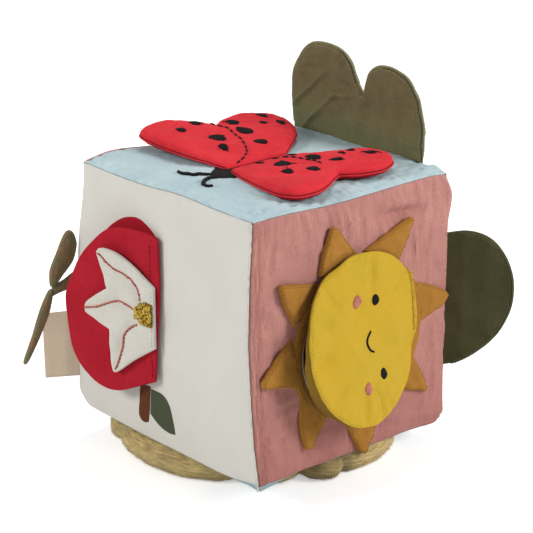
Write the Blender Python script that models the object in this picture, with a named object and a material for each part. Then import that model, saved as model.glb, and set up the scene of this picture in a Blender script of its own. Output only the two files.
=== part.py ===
"""Soft fabric activity block for a baby, built piece by piece.

A stuffed cloth cube stands on a plush pad. Sewn to its sides are a padded
butterfly with two wings, an apple flap with a flower flap on it, a sun flap
over a mirror, and cloth leaves. All sizes below are millimetres, and the
meshes are written in metres with +Z up. The origin is on the floor under the
middle of the cube. The sun side faces -Y and the apple side faces -X.
"""
import math

import bpy
from mathutils import Matrix, Vector
from mathutils.geometry import delaunay_2d_cdt

METRE = 0.001

# Driving sizes of the block and its pad
BLOCK_EDGE = 150.0
FACE_CROWN = 2.0
CORNER_TUCK = 1.2
PANEL_THICK = 1.2
PAD_HEIGHT = 16.0
PAD_SEAM_HEIGHT = 8.0
PAD_ROLL = 9.0
PLUSH_THICK = 1.6
PAD_FLAT_CUT = 0.5

# Cloth, seams and clearances
CLOTH = 0.7
FIT = 0.3
BATTING_FIT = 0.5
SEAM_STAND = 0.5
FLEX_PIVOT = 1.0

# Butterfly wings
WING_ROOT_GAP = 2.0
WING_LOFT = 3.0
WING_ROLL = 9.0
WING_BELLY = 3.2
WING_BELLY_ROLL = 7.0
WING_BELLY_RUN = 50.0
WING_ROOT_EASE = 18.0
LEFT_WING_LIFT = 7.2
RIGHT_WING_LIFT = 3.2
WING_BATTING_INSET = 3.4

# Apple and flower flaps
APPLE_HINGE_Y = -2.5
APPLE_LIFT = 13.0
APPLE_CURL = 0.8
APPLE_PATTERN_REACH = 67.4
APPLE_REACH = 66.0
FLOWER_LIFT = 4.0
FLOWER_CURL = 1.5
FLOWER_PATTERN_REACH = 46.8
FLOWER_REACH = 46.8
PATCH_INSET = 2.5

# Sun, rays and mirror
SUN_MIDDLE_X = 2.0
SUN_MIDDLE_Z = 67.0
MIRROR_RADIUS = 43.0
MIRROR_THICK = 0.8
RING_WIDTH = 6.5
RING_THICK = 1.5
RAY_THICK = 2.4
RAY_HALF_TURN = 17.0
RAY_TIP_HALF = 1.6
SUN_HINGE_TURN = 13.0
SUN_HINGE_RADIUS = 45.0
SUN_LIFT = 10.1
SUN_TWIST = 0.15
SUN_TWIST_RUN = 62.0
SUN_FLAP_RADIUS = 48.3
SUN_FLAP_RISE = 6.0
SUN_PUFF = 0.8
SUN_PUFF_ROLL = 8.0
SUN_FLAP_SETBACK = 1.0

# Leaves, sprout and label
LEAF_PUFF = 1.6
LEAF_ROLL = 12.0
ROUND_LEAF_BOTTOM = 31.0
ROUND_LEAF_TURN = -45.0
SPROUT_TURN = 158.0
SPROUT_BOTTOM = 75.0
LABEL_TURN = 120.0
LABEL_BOTTOM = 20.5
LABEL_HEIGHT = 41.0
LABEL_REACH = 24.0
LABEL_DROOP = 5.0
LABEL_THICK = 1.2

# Mesh fineness
EDGE_STEP = 5.5
CELL = 10.0
PANEL_CELLS = 8
PAD_RIMS = (2.0, 5.0)
WING_RIMS = (3.0, 8.0)
FLAP_RIM = 2.5
RING_STEP = 8.0
SPROUT_STEP = 4.0
LABEL_STEP = 9.0

HALF = BLOCK_EDGE / 2.0
BASE = PAD_HEIGHT
TOP = BASE + BLOCK_EDGE
RING_INNER = MIRROR_RADIUS + FIT
RING_OUTER = RING_INNER + RING_WIDTH
FLAP_THICK = 2.0 * CLOTH + FIT

# Outlines in millimetres. Each is a list of runs; a run of two points is
# straight, a longer one is a smooth curve, and runs meet at corners.
# Wings: x along the butterfly's body, y out from the wing's hinge. The right
# one is drawn in more at its front lobe, as it is sewn in the photograph.
LEFT_WING_RUNS = [
    [(20, 0), (31.5, 8.5), (42.5, 16.5), (51, 24.5), (55.6, 35), (55.6, 44.5), (51, 53), (41, 58.6),
     (31, 59.8), (20, 57.5), (11.5, 53)],
    [(11.5, 53), (5, 63.2), (-4, 70.4), (-16.5, 73.4), (-28, 71), (-34, 65), (-34, 50), (-31.8, 37),
     (-29.2, 25), (-26.5, 13), (-24.5, 0)],
    [(-24.5, 0), (20, 0)],
]
RIGHT_WING_RUNS = [
    [(19, 0), (30, 8.8), (41.5, 16.8), (51.5, 23), (56.3, 32), (56, 41), (50, 52), (38, 59), (27, 60),
     (18, 56.5), (9.7, 49.5)],
    [(9.7, 49.5), (0.7, 54.5), (-11, 61.8), (-23, 66), (-33.5, 64.7), (-38.3, 58), (-38.3, 50),
     (-34.7, 33), (-30, 14), (-25.5, 0)],
    [(-25.5, 0), (19, 0)],
]
# Apple flap: x out from its hinge, y above the block's lower edge.
APPLE_RUNS = [
    [(0, 41.5), (0, 125.5)],
    [(0, 125.5), (5, 127.5), (18, 128), (28, 127.2), (38, 123.3), (50.5, 111.8), (59.5, 98.2),
     (66, 86), (67.4, 72.8), (66.5, 60.7), (63.5, 47.2), (57.5, 38.1), (45.5, 30.5), (31, 29), (12, 36.8),
     (0, 41.5)],
]
# Apple patch on the block: x from the patch's own straight edge.
PATCH_RUNS = [
    [(3.5, 42), (0, 122)],
    [(0, 122), (4, 126.2), (11, 130), (18, 131.7), (25, 130.8), (32, 128.5), (39, 124.6), (46, 119.5),
     (53, 112.5), (60, 102), (65.5, 88), (67.5, 74), (66, 58), (61, 44), (53, 33.5), (44, 29.5), (30, 28.5),
     (12, 36.5), (3.5, 42)],
]
# Flower flap: the same axes as the apple flap.
FLOWER_RUNS = [
    [(0, 62), (0, 98)],
    [(0, 98), (6.5, 103), (14.5, 108.8), (25, 114.3), (34, 115.5), (37.5, 112.2), (34.5, 102), (31.5, 92.3)],
    [(31.5, 92.3), (39, 87.2), (45.8, 81.6), (46.8, 78.4), (45.8, 75.3), (39, 71.8), (30.8, 68)],
    [(30.8, 68), (30.4, 56), (30, 44.8), (26.6, 42.6), (14, 52.5), (0, 62)],
]
# Tall leaf: x along the top seam towards the back, y up from the seam.
TALL_LEAF_RUNS = [
    [(-53.6, 0), (-54, 17), (-52.4, 25), (-50, 33.6), (-46.5, 38.6), (-41.5, 44.8), (-34.3, 48),
     (-26, 49.5), (-17, 48.4), (-10.6, 44.2), (-7.8, 39), (-5.5, 31.3)],
    [(-5.5, 31.3), (0.4, 38.2), (3.8, 45.2), (8.6, 50.4), (15, 53.5), (25, 54.8), (36, 53.8),
     (44, 49.4), (50, 41.8), (54.4, 33.5), (55.2, 20.7), (53.4, 0)],
    [(53.4, 0), (-53.6, 0)],
]
# Round leaf: x out from the corner seam, y up from the leaf's lower end.
ROUND_LEAF_RUNS = [
    [(0, 0), (7, 2.2), (18.6, 9.3), (27.8, 18.2), (33, 26.5), (36.6, 36), (37.7, 46),
     (36.5, 57), (31.5, 69), (23, 78.4), (11, 82.4), (0, 81)],
    [(0, 81), (0, 0)],
]
# Sprout: x out from the corner seam, y up from the stalk's lower side.
STALK_RUNS = [
    [(0, 1), (0, 12)],
    [(0, 12), (4.5, 9.8), (9.5, 6.2), (14.6, 2.4)],
    [(14.6, 2.4), (15.6, -4.6)],
    [(15.6, -4.6), (12, -1.6), (6, 0.2), (0, 1)],
]
UPPER_LEAF_RUNS = [
    [(14.8, 3), (17, 4.6), (17.6, 10), (16.8, 14.5), (13, 23.2), (8.4, 33.4), (5.2, 36.2), (2.4, 34.4),
     (0.9, 30), (0.7, 25.8), (3.2, 17.3), (9.6, 9.4), (14.8, 3)],
]
LOWER_LEAF_RUNS = [
    [(15.4, 1.9), (18.4, 0.8), (21.2, -4), (23.8, -9.8), (26.4, -17), (29, -25), (31.8, -32.4),
     (34.6, -39.8), (34.9, -42.6), (33.3, -43), (30.8, -39.6), (27.5, -33.4), (24.3, -27), (21.2, -20.2),
     (18.5, -13.7), (17, -8.2), (16.1, -4.2), (15.4, 1.9)],
]
# Pad lobes: centre x, centre y, half width along x, half width along y.
PAD_LOBES = [
    (-46.5, 11.5, 34, 52), (-52, 48, 20, 18.5), (-32.5, -34.5, 17.5, 27), (-11.5, -58, 13, 17.5),
    (14.5, -49, 38, 26.5), (46.5, -7, 27, 32.5), (42, 46, 28, 26), (-6, 56, 34, 22),
]
# Rays: turn of the base, turn of the tip (degrees from +X), reach of the tip.
RAYS = [
    (107, 105.7, 74), (68.4, 57.4, 74), (142.6, 141.6, 75), (183, 186, 71.5),
    (222, 234, 67), (274, 274.5, 68.5), (12.9, 6.4, 71.5), (326, 321, 71.5),
]

COLOURS = {
    "sky_cloth": (0.53, 0.66, 0.68),
    "cream_cloth": (0.65, 0.62, 0.56),
    "rose_cloth": (0.48, 0.24, 0.20),
    "red_cloth": (0.72, 0.05, 0.07),
    "apple_red_cloth": (0.40, 0.012, 0.024),
    "flower_cloth": (0.66, 0.62, 0.54),
    "sun_cloth": (0.65, 0.42, 0.035),
    "ochre_cloth": (0.36, 0.18, 0.03),
    "olive_cloth": (0.10, 0.10, 0.055),
    "plush": (0.45, 0.34, 0.18),
    "ribbon": (0.50, 0.37, 0.27),
    "wadding": (0.80, 0.79, 0.76),
    "mirror_film": (0.85, 0.86, 0.88),
}


def clear_scene():
    """Remove whatever the file opened with."""
    for thing in list(bpy.data.objects):
        bpy.data.objects.remove(thing, do_unlink=True)


def make_material(name):
    """One Principled material for each cloth."""
    found = bpy.data.materials.get(name)
    if found:
        return found
    material = bpy.data.materials.new(name)
    material.use_nodes = True
    shader = material.node_tree.nodes["Principled BSDF"]
    mirror = name == "mirror_film"
    shader.inputs["Base Color"].default_value = (*COLOURS[name], 1.0)
    shader.inputs["Roughness"].default_value = 0.08 if mirror else 0.9
    shader.inputs["Metallic"].default_value = 1.0 if mirror else 0.0
    return material


# Outline helpers

def smooth_run(points, step):
    """Points along a Catmull-Rom curve, evenly spaced about one step apart."""
    if len(points) == 2:
        dense = [Vector(points[0]), Vector(points[1])]
    else:
        knots = [Vector(p) for p in points]
        knots = [2 * knots[0] - knots[1]] + knots + [2 * knots[-1] - knots[-2]]
        dense = []
        for a, b, c, d in zip(knots, knots[1:], knots[2:], knots[3:]):
            for k in range(12):
                t = k / 12.0
                dense.append(0.5 * (2 * b + (c - a) * t + (2 * a - 5 * b + 4 * c - d) * t * t
                                    + (3 * b - a - 3 * c + d) * t ** 3))
        dense.append(knots[-2])
    lengths = [0.0]
    for a, b in zip(dense, dense[1:]):
        lengths.append(lengths[-1] + (b - a).length)
    count = max(1, round(lengths[-1] / step))
    found = []
    segment = 0
    for k in range(count):
        target = lengths[-1] * k / count
        while lengths[segment + 1] < target:
            segment += 1
        share = (target - lengths[segment]) / (lengths[segment + 1] - lengths[segment])
        found.append(dense[segment].lerp(dense[segment + 1], share))
    return found


def outline(runs, step=EDGE_STEP):
    """Closed outline from runs, counter-clockwise."""
    points = []
    for run in runs:
        points += smooth_run(run, step)
    area = sum(a.cross(b) for a, b in zip(points, points[1:] + points[:1]))
    return points if area > 0 else points[::-1]


def circle(radius, step=EDGE_STEP, centre=(0.0, 0.0)):
    """Counter-clockwise circle."""
    count = max(12, round(2 * math.pi * radius / step))
    turns = [2 * math.pi * k / count for k in range(count)]
    return [Vector((centre[0] + radius * math.cos(t), centre[1] + radius * math.sin(t))) for t in turns]


def widened(runs, scale):
    """The same runs, wider or narrower along x."""
    return [[(x * scale, y) for x, y in run] for run in runs]


def edge_distance(point, loops):
    """Shortest way from a point to the loops' edges."""
    best = 1e9
    for loop in loops:
        for a, b in zip(loop, loop[1:] + loop[:1]):
            along = b - a
            share = max(0.0, min(1.0, (point - a).dot(along) / along.length_squared))
            best = min(best, (point - a - along * share).length)
    return best


def inside(point, loop):
    """Whether a point lies inside a closed loop."""
    hit = False
    for a, b in zip(loop, loop[1:] + loop[:1]):
        if (a.y > point.y) != (b.y > point.y):
            if point.x < a.x + (b.x - a.x) * (point.y - a.y) / (b.y - a.y):
                hit = not hit
    return hit


def inset(loop, amount):
    """The loop moved inwards, without the points that would cross it."""
    moved = []
    for before, here, after in zip(loop[-1:] + loop[:-1], loop, loop[1:] + loop[:1]):
        along = (after - before).normalized()
        point = here + Vector((-along.y, along.x)) * amount
        far = not moved or (point - moved[-1]).length > 0.4 * amount
        if far and inside(point, loop) and edge_distance(point, [loop]) > 0.9 * amount:
            moved.append(point)
    return moved


def fill_points(loop, hole, rims, cell):
    """Points inside the outline: one row for each rim distance, then a staggered grid."""
    loops = [loop] + ([hole] if hole else [])
    found = []
    for rim in rims:
        found += inset(loop, rim)
    low_x, high_x = min(p.x for p in loop), max(p.x for p in loop)
    low_y, high_y = min(p.y for p in loop), max(p.y for p in loop)
    clear = max(rims, default=0.0) + 0.55 * cell
    rows = int((high_y - low_y) / (cell * 0.87)) + 1
    columns = int((high_x - low_x) / cell) + 1
    for row in range(rows + 1):
        for column in range(columns + 1):
            point = Vector((low_x + (column + 0.5 * (row % 2)) * cell, low_y + row * cell * 0.87))
            if not inside(point, loop) or (hole and inside(point, hole)):
                continue
            if edge_distance(point, loops) > clear:
                found.append(point)
    return found


# Solid helpers

def add_object(name, verts, faces, matrix, material):
    """Mesh object in the part's collection. Vertices and matrix are in millimetres."""
    mesh = bpy.data.meshes.new(name)
    mesh.from_pydata([Vector(v) * METRE for v in verts], [], faces)
    mesh.materials.append(make_material(material))
    piece = bpy.data.objects.new(name, mesh)
    bpy.data.collections["soft_fabric_block"].objects.link(piece)
    placed = matrix.copy()
    placed.translation = placed.translation * METRE
    piece.matrix_world = placed
    mesh.shade_smooth()
    mesh.set_sharp_from_angle(angle=math.radians(40))
    return piece


def left_of_rim(triangles, rim_edges):
    """Triangles enclosed by the rim, whose edges run with the cloth on their left."""
    owner = {}
    for triangle in triangles:
        a, b, c = triangle
        for edge in ((a, b), (b, c), (c, a)):
            owner[edge] = (a, b, c)
    fence = set(rim_edges)
    waiting = [owner[edge] for edge in rim_edges]
    kept = set(waiting)
    while waiting:
        a, b, c = waiting.pop()
        for edge in ((a, b), (b, c), (c, a)):
            if edge in fence:
                continue
            beside = owner[edge[::-1]]
            if beside not in kept:
                kept.add(beside)
                waiting.append(beside)
    return sorted(kept)


def layer(name, loop, top, bottom, matrix, material, hole=None, rims=(), cell=CELL):
    """Closed sheet or pad over an outline. top and bottom give a 3D point for x, y and edge distance."""
    loop = list(loop)
    hole = list(hole) if hole else []
    loops = [loop] + ([hole] if hole else [])
    points = loop + hole + fill_points(loop, hole, rims, cell)
    count = len(loop)
    borders = [list(range(count))]
    if hole:
        borders.append(list(range(count + len(hole) - 1, count - 1, -1)))
    rim_edges = [pair for ids in borders for pair in zip(ids, ids[1:] + ids[:1])]
    flat, _, triangles = delaunay_2d_cdt(points, rim_edges, [], 0, 1e-5, False)[:3]
    kept = left_of_rim(triangles, rim_edges)
    count = len(flat)
    away = [0.0 if i < len(loop) + len(hole) else edge_distance(flat[i], loops) for i in range(count)]
    verts = [top(p.x, p.y, d) for p, d in zip(flat, away)]
    verts += [bottom(p.x, p.y, d) for p, d in zip(flat, away)]
    faces = kept + [tuple(i + count for i in reversed(t)) for t in kept]
    faces += [(a, a + count, b + count, b) for a, b in rim_edges]
    return add_object(name, verts, faces, matrix, material)


def axes_matrix(origin, across, up):
    """Placement with X along across, Y along up, and Z out of both."""
    x_axis = Vector(across).normalized()
    y_axis = Vector(up).normalized()
    z_axis = x_axis.cross(y_axis)
    turned = Matrix((x_axis, y_axis, z_axis)).transposed().to_4x4()
    turned.translation = Vector(origin)
    return turned


def rounded(distance, width):
    """Rise of a stuffed edge: 0 at the seam, 1 once one width away from it."""
    share = min(distance / width, 1.0)
    return math.sqrt(1.0 - (1.0 - share) ** 2)


def crown(x, y, height=FACE_CROWN):
    """How far a stuffed face bulges at x, y from its middle."""
    across = max(0.0, 1.0 - (x / HALF) ** 2)
    upward = max(0.0, 1.0 - (y / HALF) ** 2)
    return height * across * upward


# Faces of the block: X to the right and Y up, seen from outside
MID_Z = BASE + HALF
FACES = {
    "apple_side": axes_matrix((-HALF, 0, MID_Z), (0, -1, 0), (0, 0, 1)),
    "sun_side": axes_matrix((0, -HALF, MID_Z), (1, 0, 0), (0, 0, 1)),
    "leaf_side": axes_matrix((HALF, 0, MID_Z), (0, 1, 0), (0, 0, 1)),
    "sprout_side": axes_matrix((0, HALF, MID_Z), (-1, 0, 0), (0, 0, 1)),
    "top": axes_matrix((0, 0, TOP), (1, 0, 0), (0, 1, 0)),
    "bottom": axes_matrix((0, 0, BASE), (1, 0, 0), (0, -1, 0)),
}
PANEL_CLOTHS = {
    "apple_side": "cream_cloth",
    "sun_side": "rose_cloth",
    "leaf_side": "sky_cloth",
    "sprout_side": "rose_cloth",
    "top": "sky_cloth",
    "bottom": "sky_cloth",
}


def face_crown(face):
    """The bottom is pressed flat by the block's weight; the other faces bulge."""
    return 0.0 if face == "bottom" else FACE_CROWN


def face_grid(outer, height, sink):
    """Grid of points over one face, in its own axes. The corners are drawn in, as a stuffed cube's are."""
    last = PANEL_CELLS
    found = []
    for j in range(last + 1):
        for i in range(last + 1):
            x = outer * (2.0 * i / last - 1.0)
            y = outer * (2.0 * j / last - 1.0)
            share = HALF / outer
            out = crown(x * share, y * share, height) - sink
            if i in (0, last) and j in (0, last):
                x -= math.copysign(CORNER_TUCK, x)
                y -= math.copysign(CORNER_TUCK, y)
                out -= CORNER_TUCK
            found.append(Vector((x, y, out)))
    return found


def face_triangles():
    """Triangles over the grid of points, facing out. Each diagonal cuts across towards the nearest corner."""
    row = PANEL_CELLS + 1
    middle = PANEL_CELLS / 2
    found = []
    for j in range(PANEL_CELLS):
        for i in range(PANEL_CELLS):
            a, b, c, d = j * row + i, j * row + i + 1, (j + 1) * row + i + 1, (j + 1) * row + i
            if (i < middle) == (j < middle):
                found += [(a, b, d), (b, c, d)]
            else:
                found += [(a, b, c), (a, c, d)]
    return found


def build_panel(face):
    """Cloth panel with mitred edges, so that neighbours meet along the seam."""
    outer = HALF - 0.75 * FIT
    height = face_crown(face)
    verts = face_grid(outer, height, 0.0) + face_grid(outer - PANEL_THICK, height, PANEL_THICK)
    last = PANEL_CELLS
    row = last + 1
    count = row * row
    faces = []
    for triangle in face_triangles():
        faces += [triangle, tuple(k + count for k in reversed(triangle))]
    rim = list(range(row)) + [j * row + last for j in range(1, row)]
    rim += [count - 1 - i for i in range(1, row)] + [j * row for j in range(last - 1, 0, -1)]
    for a, b in zip(rim, rim[1:] + rim[:1]):
        faces.append((a, a + count, b + count, b))
    add_object("panel_" + face, verts, faces, FACES[face], PANEL_CLOTHS[face])


def build_fill():
    """Stuffing inside the six panels: a cube whose faces bulge like theirs."""
    size = HALF - PANEL_THICK - BATTING_FIT
    verts, faces, index = [], [], {}
    for face, matrix in FACES.items():
        turned = matrix.to_3x3()
        ids = []
        for point in face_grid(size, face_crown(face), -size):
            placed = turned @ point
            key = tuple(round(c, 3) for c in placed)
            if key not in index:
                index[key] = len(verts)
                verts.append(placed)
            ids.append(index[key])
        faces += [tuple(ids[k] for k in triangle) for triangle in face_triangles()]
    add_object("fill_block", verts, faces, Matrix.Translation((0, 0, MID_Z)), "wadding")


def pad_outline():
    """Outer line of the pad's lobes, found along rays from the middle."""
    loop = []
    for k in range(72):
        turn = math.radians(5.0 * k)
        ray = Vector((math.cos(turn), math.sin(turn)))
        reach = 0.0
        for x, y, half_x, half_y in PAD_LOBES:
            a = (ray.x / half_x) ** 2 + (ray.y / half_y) ** 2
            b = -2.0 * (ray.x * x / half_x ** 2 + ray.y * y / half_y ** 2)
            c = (x / half_x) ** 2 + (y / half_y) ** 2 - 1.0
            root = b * b - 4 * a * c
            if root > 0:
                reach = max(reach, (-b + math.sqrt(root)) / (2 * a))
        loop.append(ray * reach)
    return loop


def build_pad():
    """Plush pad under the block: two covers seamed at mid height round a batting."""
    loop = pad_outline()
    ceiling = PAD_HEIGHT - FIT
    seam = PAD_SEAM_HEIGHT
    rim = PLUSH_THICK + FIT / 2.0

    def upper(d):
        rise = (ceiling + PAD_FLAT_CUT - seam - rim) * rounded(d, PAD_ROLL)
        return min(ceiling, seam + rim + rise)

    def lower(d):
        drop = (seam + PAD_FLAT_CUT - rim) * rounded(d, PAD_ROLL)
        return max(0.0, seam - rim - drop)

    place = Matrix.Identity(4)
    layer("pad_upper_plush", loop, lambda x, y, d: (x, y, upper(d)),
          lambda x, y, d: (x, y, upper(d) - PLUSH_THICK), place, "plush", rims=PAD_RIMS, cell=16.0)
    layer("pad_lower_plush", loop, lambda x, y, d: (x, y, lower(d) + PLUSH_THICK),
          lambda x, y, d: (x, y, lower(d)), place, "plush", rims=PAD_RIMS, cell=16.0)
    start = PAD_RIMS[1]
    core = inset(loop, start)
    gap = PLUSH_THICK + BATTING_FIT
    layer("pad_batting", core, lambda x, y, d: (x, y, upper(d + start) - gap),
          lambda x, y, d: (x, y, lower(d + start) + gap), place, "wadding", cell=16.0)


# Butterfly on the top

def wing_heights():
    """Upper and lower surface of a wing above its seam, for x, y and edge distance."""
    rim = CLOTH + FIT / 2.0

    def upper(y, d):
        ease = 0.35 + 0.65 * min(1.0, max(y, 0.0) / WING_ROOT_EASE)
        return rim + WING_LOFT * rounded(d, WING_ROLL) * ease

    def lower(y, d):
        run = min(1.0, max(y, 0.0) / WING_BELLY_RUN)
        return -rim - WING_BELLY * rounded(d, WING_BELLY_ROLL) * run
    return upper, lower


WING_AXIS_Z = TOP + FACE_CROWN + FIT + CLOTH + FIT / 2.0


def build_wing(side, sign, lift, runs):
    """One wing: upper cloth, lower cloth and the batting between them.

    sign is 1 for the wing towards +Y and -1 for the one towards -Y.
    """
    loop = outline(runs)
    across = (sign, 0, 0)
    place = axes_matrix((0, sign * WING_ROOT_GAP, WING_AXIS_Z), across, (0, sign, 0))
    place = place @ Matrix.Rotation(math.radians(lift), 4, "X")
    loop = [Vector((p.x * sign, p.y)) for p in loop]
    if sign < 0:
        loop.reverse()
    upper, lower = wing_heights()
    name = side + "_wing_"
    layer(name + "upper_cloth", loop, lambda x, y, d: (x, y, upper(y, d)),
          lambda x, y, d: (x, y, upper(y, d) - CLOTH), place, "red_cloth", rims=WING_RIMS, cell=10.0)
    layer(name + "lower_cloth", loop, lambda x, y, d: (x, y, lower(y, d) + CLOTH),
          lambda x, y, d: (x, y, lower(y, d)), place, "red_cloth", rims=WING_RIMS, cell=10.0)
    start = WING_BATTING_INSET
    core = inset(loop, start)
    gap = CLOTH + BATTING_FIT
    layer(name + "batting", core, lambda x, y, d: (x, y, upper(y, d + start) - gap),
          lambda x, y, d: (x, y, lower(y, d + start) + gap), place, "wadding",
          rims=(WING_RIMS[1] - start,), cell=10.0)


# Apple and flower on the cream side

def hinged_left(hinge_y, hinge_out, lift):
    """Placement of a flap on the apple side: X runs from the free edge to the hinge."""
    place = axes_matrix((-HALF - hinge_out, hinge_y, BASE), (0, -1, 0), (0, 0, 1))
    return place @ Matrix.Rotation(math.radians(lift), 4, "Y")


def two_cloths(name, loop, front, place, outer_cloth, lining_cloth, rims=(), cell=CELL):
    """Outer cloth and lining of a flap. front gives the outer surface's height."""
    second = CLOTH + FIT
    layer(name + "_outer", loop, lambda x, y, d: (x, y, front(x, y, d)),
          lambda x, y, d: (x, y, front(x, y, d) - CLOTH), place, outer_cloth, rims=rims, cell=cell)
    layer(name + "_lining", loop, lambda x, y, d: (x, y, front(x, y, 0.0) - second),
          lambda x, y, d: (x, y, front(x, y, 0.0) - second - CLOTH), place, lining_cloth, cell=cell)


def mirrored(loop):
    """The outline turned over left to right, still counter-clockwise."""
    return [Vector((-p.x, p.y)) for p in reversed(loop)]


APPLE_AXIS_OUT = FACE_CROWN + FIT + CLOTH + FIT + FLAP_THICK
FLOWER_AXIS_OUT = APPLE_AXIS_OUT + FIT + FLAP_THICK


def build_apple():
    """Flat apple patch, the apple flap over it and the flower flap over that."""
    apple = mirrored(outline(widened(APPLE_RUNS, APPLE_REACH / APPLE_PATTERN_REACH)))
    patch = mirrored(outline(widened(PATCH_RUNS, APPLE_REACH / APPLE_PATTERN_REACH)))
    shift = Vector((-APPLE_HINGE_Y - PATCH_INSET, -HALF))
    patch = [p + shift for p in patch]
    layer("apple_patch", patch, lambda x, y, d: (x, y, crown(x, y) + FIT + CLOTH),
          lambda x, y, d: (x, y, crown(x, y) + FIT), FACES["apple_side"], "apple_red_cloth", cell=14.0)

    def apple_front(x, y, d):
        return APPLE_CURL * (x / APPLE_REACH) ** 4

    place = hinged_left(APPLE_HINGE_Y, APPLE_AXIS_OUT, APPLE_LIFT)
    two_cloths("apple_flap", apple, apple_front, place, "apple_red_cloth", "apple_red_cloth", cell=14.0)

    flower = mirrored(outline(widened(FLOWER_RUNS, FLOWER_REACH / FLOWER_PATTERN_REACH)))

    def flower_front(x, y, d):
        return FLOWER_CURL * (x / FLOWER_REACH) ** 2

    place = hinged_left(APPLE_HINGE_Y, FLOWER_AXIS_OUT, APPLE_LIFT + FLOWER_LIFT)
    two_cloths("flower_flap", flower, flower_front, place, "flower_cloth", "flower_cloth", cell=12.0)


# Sun, rays and mirror on the rose side

def sun_point(turn, radius):
    """Point on the rose face at a turn and radius from the sun's middle."""
    angle = math.radians(turn)
    return Vector((SUN_MIDDLE_X + radius * math.cos(angle), SUN_MIDDLE_Z - HALF + radius * math.sin(angle)))


def build_mirror():
    """Mirror film and the ochre ring of cloth that holds its edge."""
    middle = sun_point(0.0, 0.0)
    place = FACES["sun_side"]
    layer("mirror", circle(MIRROR_RADIUS, RING_STEP, middle),
          lambda x, y, d: (x, y, crown(x, y) + FIT + MIRROR_THICK),
          lambda x, y, d: (x, y, crown(x, y) + FIT), place, "mirror_film", cell=16.0)
    layer("mirror_ring", circle(RING_OUTER, RING_STEP, middle),
          lambda x, y, d: (x, y, crown(x, y) + FIT + RING_THICK),
          lambda x, y, d: (x, y, crown(x, y) + FIT), place, "ochre_cloth",
          hole=circle(RING_INNER, RING_STEP, middle), cell=16.0)


def build_ray(number, base_turn, tip_turn, reach):
    """Stuffed triangle sewn down along its base, against the ring."""
    inner = RING_OUTER + FIT
    arc = [sun_point(base_turn + RAY_HALF_TURN * k / 3.0, inner) for k in range(-3, 4)]
    tip = sun_point(tip_turn, reach)
    out = (tip - sun_point(0.0, 0.0)).normalized()
    side = Vector((-out.y, out.x)) * RAY_TIP_HALF
    corners = [arc[-1], tip + side - out * RAY_TIP_HALF, tip, tip - side - out * RAY_TIP_HALF, arc[0]]
    loop = []
    for a, b in zip(corners, corners[1:]):
        pieces = max(1, round((b - a).length / EDGE_STEP))
        loop += [a.lerp(b, k / pieces) for k in range(pieces)]
    loop += arc[:-1]
    area = sum(a.cross(b) for a, b in zip(loop, loop[1:] + loop[:1]))
    if area < 0:
        loop.reverse()

    def front(x, y, d):
        return crown(x, y) + FIT + RAY_THICK * (0.5 + 0.5 * min(1.0, d / 4.0))

    layer("sun_ray_%d" % number, loop, lambda x, y, d: (x, y, front(x, y, d)),
          lambda x, y, d: (x, y, crown(x, y) + FIT), FACES["sun_side"], "ochre_cloth", cell=7.0)


def sun_hinge():
    """Middle of the sun flap's hinge and the direction that it runs in."""
    turn = math.radians(SUN_HINGE_TURN)
    point = sun_point(SUN_HINGE_TURN, SUN_HINGE_RADIUS)
    out = crown(point.x, point.y) + FIT + RING_THICK + FIT + FLAP_THICK
    origin = Vector((point.x, -HALF - out, point.y + MID_Z))
    across = Vector((math.cos(turn), 0.0, math.sin(turn)))
    up = Vector((-math.sin(turn), 0.0, math.cos(turn)))
    return origin, across, up


def build_sun_flap():
    """Round sun flap. Its lower free side lifts more than its upper one."""
    origin, across, up = sun_hinge()
    place = axes_matrix(origin, across, up) @ Matrix.Rotation(math.radians(SUN_LIFT), 4, "Y")
    middle = (-SUN_FLAP_RADIUS - SUN_FLAP_SETBACK, SUN_FLAP_RISE)
    loop = circle(SUN_FLAP_RADIUS, EDGE_STEP, middle)

    def front(x, y, d):
        twist = SUN_TWIST * min(1.0, -x / SUN_TWIST_RUN)
        return -twist * y + SUN_PUFF * rounded(d, SUN_PUFF_ROLL)

    two_cloths("sun_flap", loop, front, place, "sun_cloth", "sun_cloth", rims=(FLAP_RIM,), cell=13.0)


# Leaves, sprout and label

def build_leaf(name, runs, place, cloth_names):
    """Leaf of two cloths with a thin batting. Its base edge is on y = 0 or x = 0."""
    loop = outline(runs)
    rim = CLOTH + FIT / 2.0

    def half(d):
        return rim + LEAF_PUFF * rounded(d, LEAF_ROLL)

    front_name, back_name = cloth_names
    layer(name + front_name, loop, lambda x, y, d: (x, y, half(d)),
          lambda x, y, d: (x, y, half(d) - CLOTH), place, "olive_cloth", rims=(3.0,), cell=12.0)
    layer(name + back_name, loop, lambda x, y, d: (x, y, CLOTH - half(d)),
          lambda x, y, d: (x, y, -half(d)), place, "olive_cloth", rims=(3.0,), cell=12.0)
    start = 5.0
    core = inset(loop, start)
    gap = CLOTH + FIT
    layer(name + "_batting", core, lambda x, y, d: (x, y, half(d + start) - gap),
          lambda x, y, d: (x, y, gap - half(d + start)), place, "wadding", cell=12.0)


def build_tall_leaf():
    """Two-lobed leaf that stands in the seam between the top and the leaf side."""
    base = TOP + FLEX_PIVOT
    place = axes_matrix((HALF, 0, base), (0, 1, 0), (0, 0, 1))
    lowered = [[(x, y - SEAM_STAND) for x, y in run] for run in TALL_LEAF_RUNS]
    build_leaf("tall_leaf", lowered, place, ("_outer_cloth", "_inner_cloth"))


def corner_matrix(x_sign, y_sign, turn, height):
    """Placement at an upright seam: X runs out from the corner at a turn, Y runs up."""
    angle = math.radians(turn)
    out = Vector((x_sign, y_sign, 0)).normalized() * FLEX_PIVOT
    across = Vector((math.cos(angle), math.sin(angle), 0))
    return axes_matrix(Vector((x_sign * HALF, y_sign * HALF, height)) + out, across, (0, 0, 1))


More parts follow.
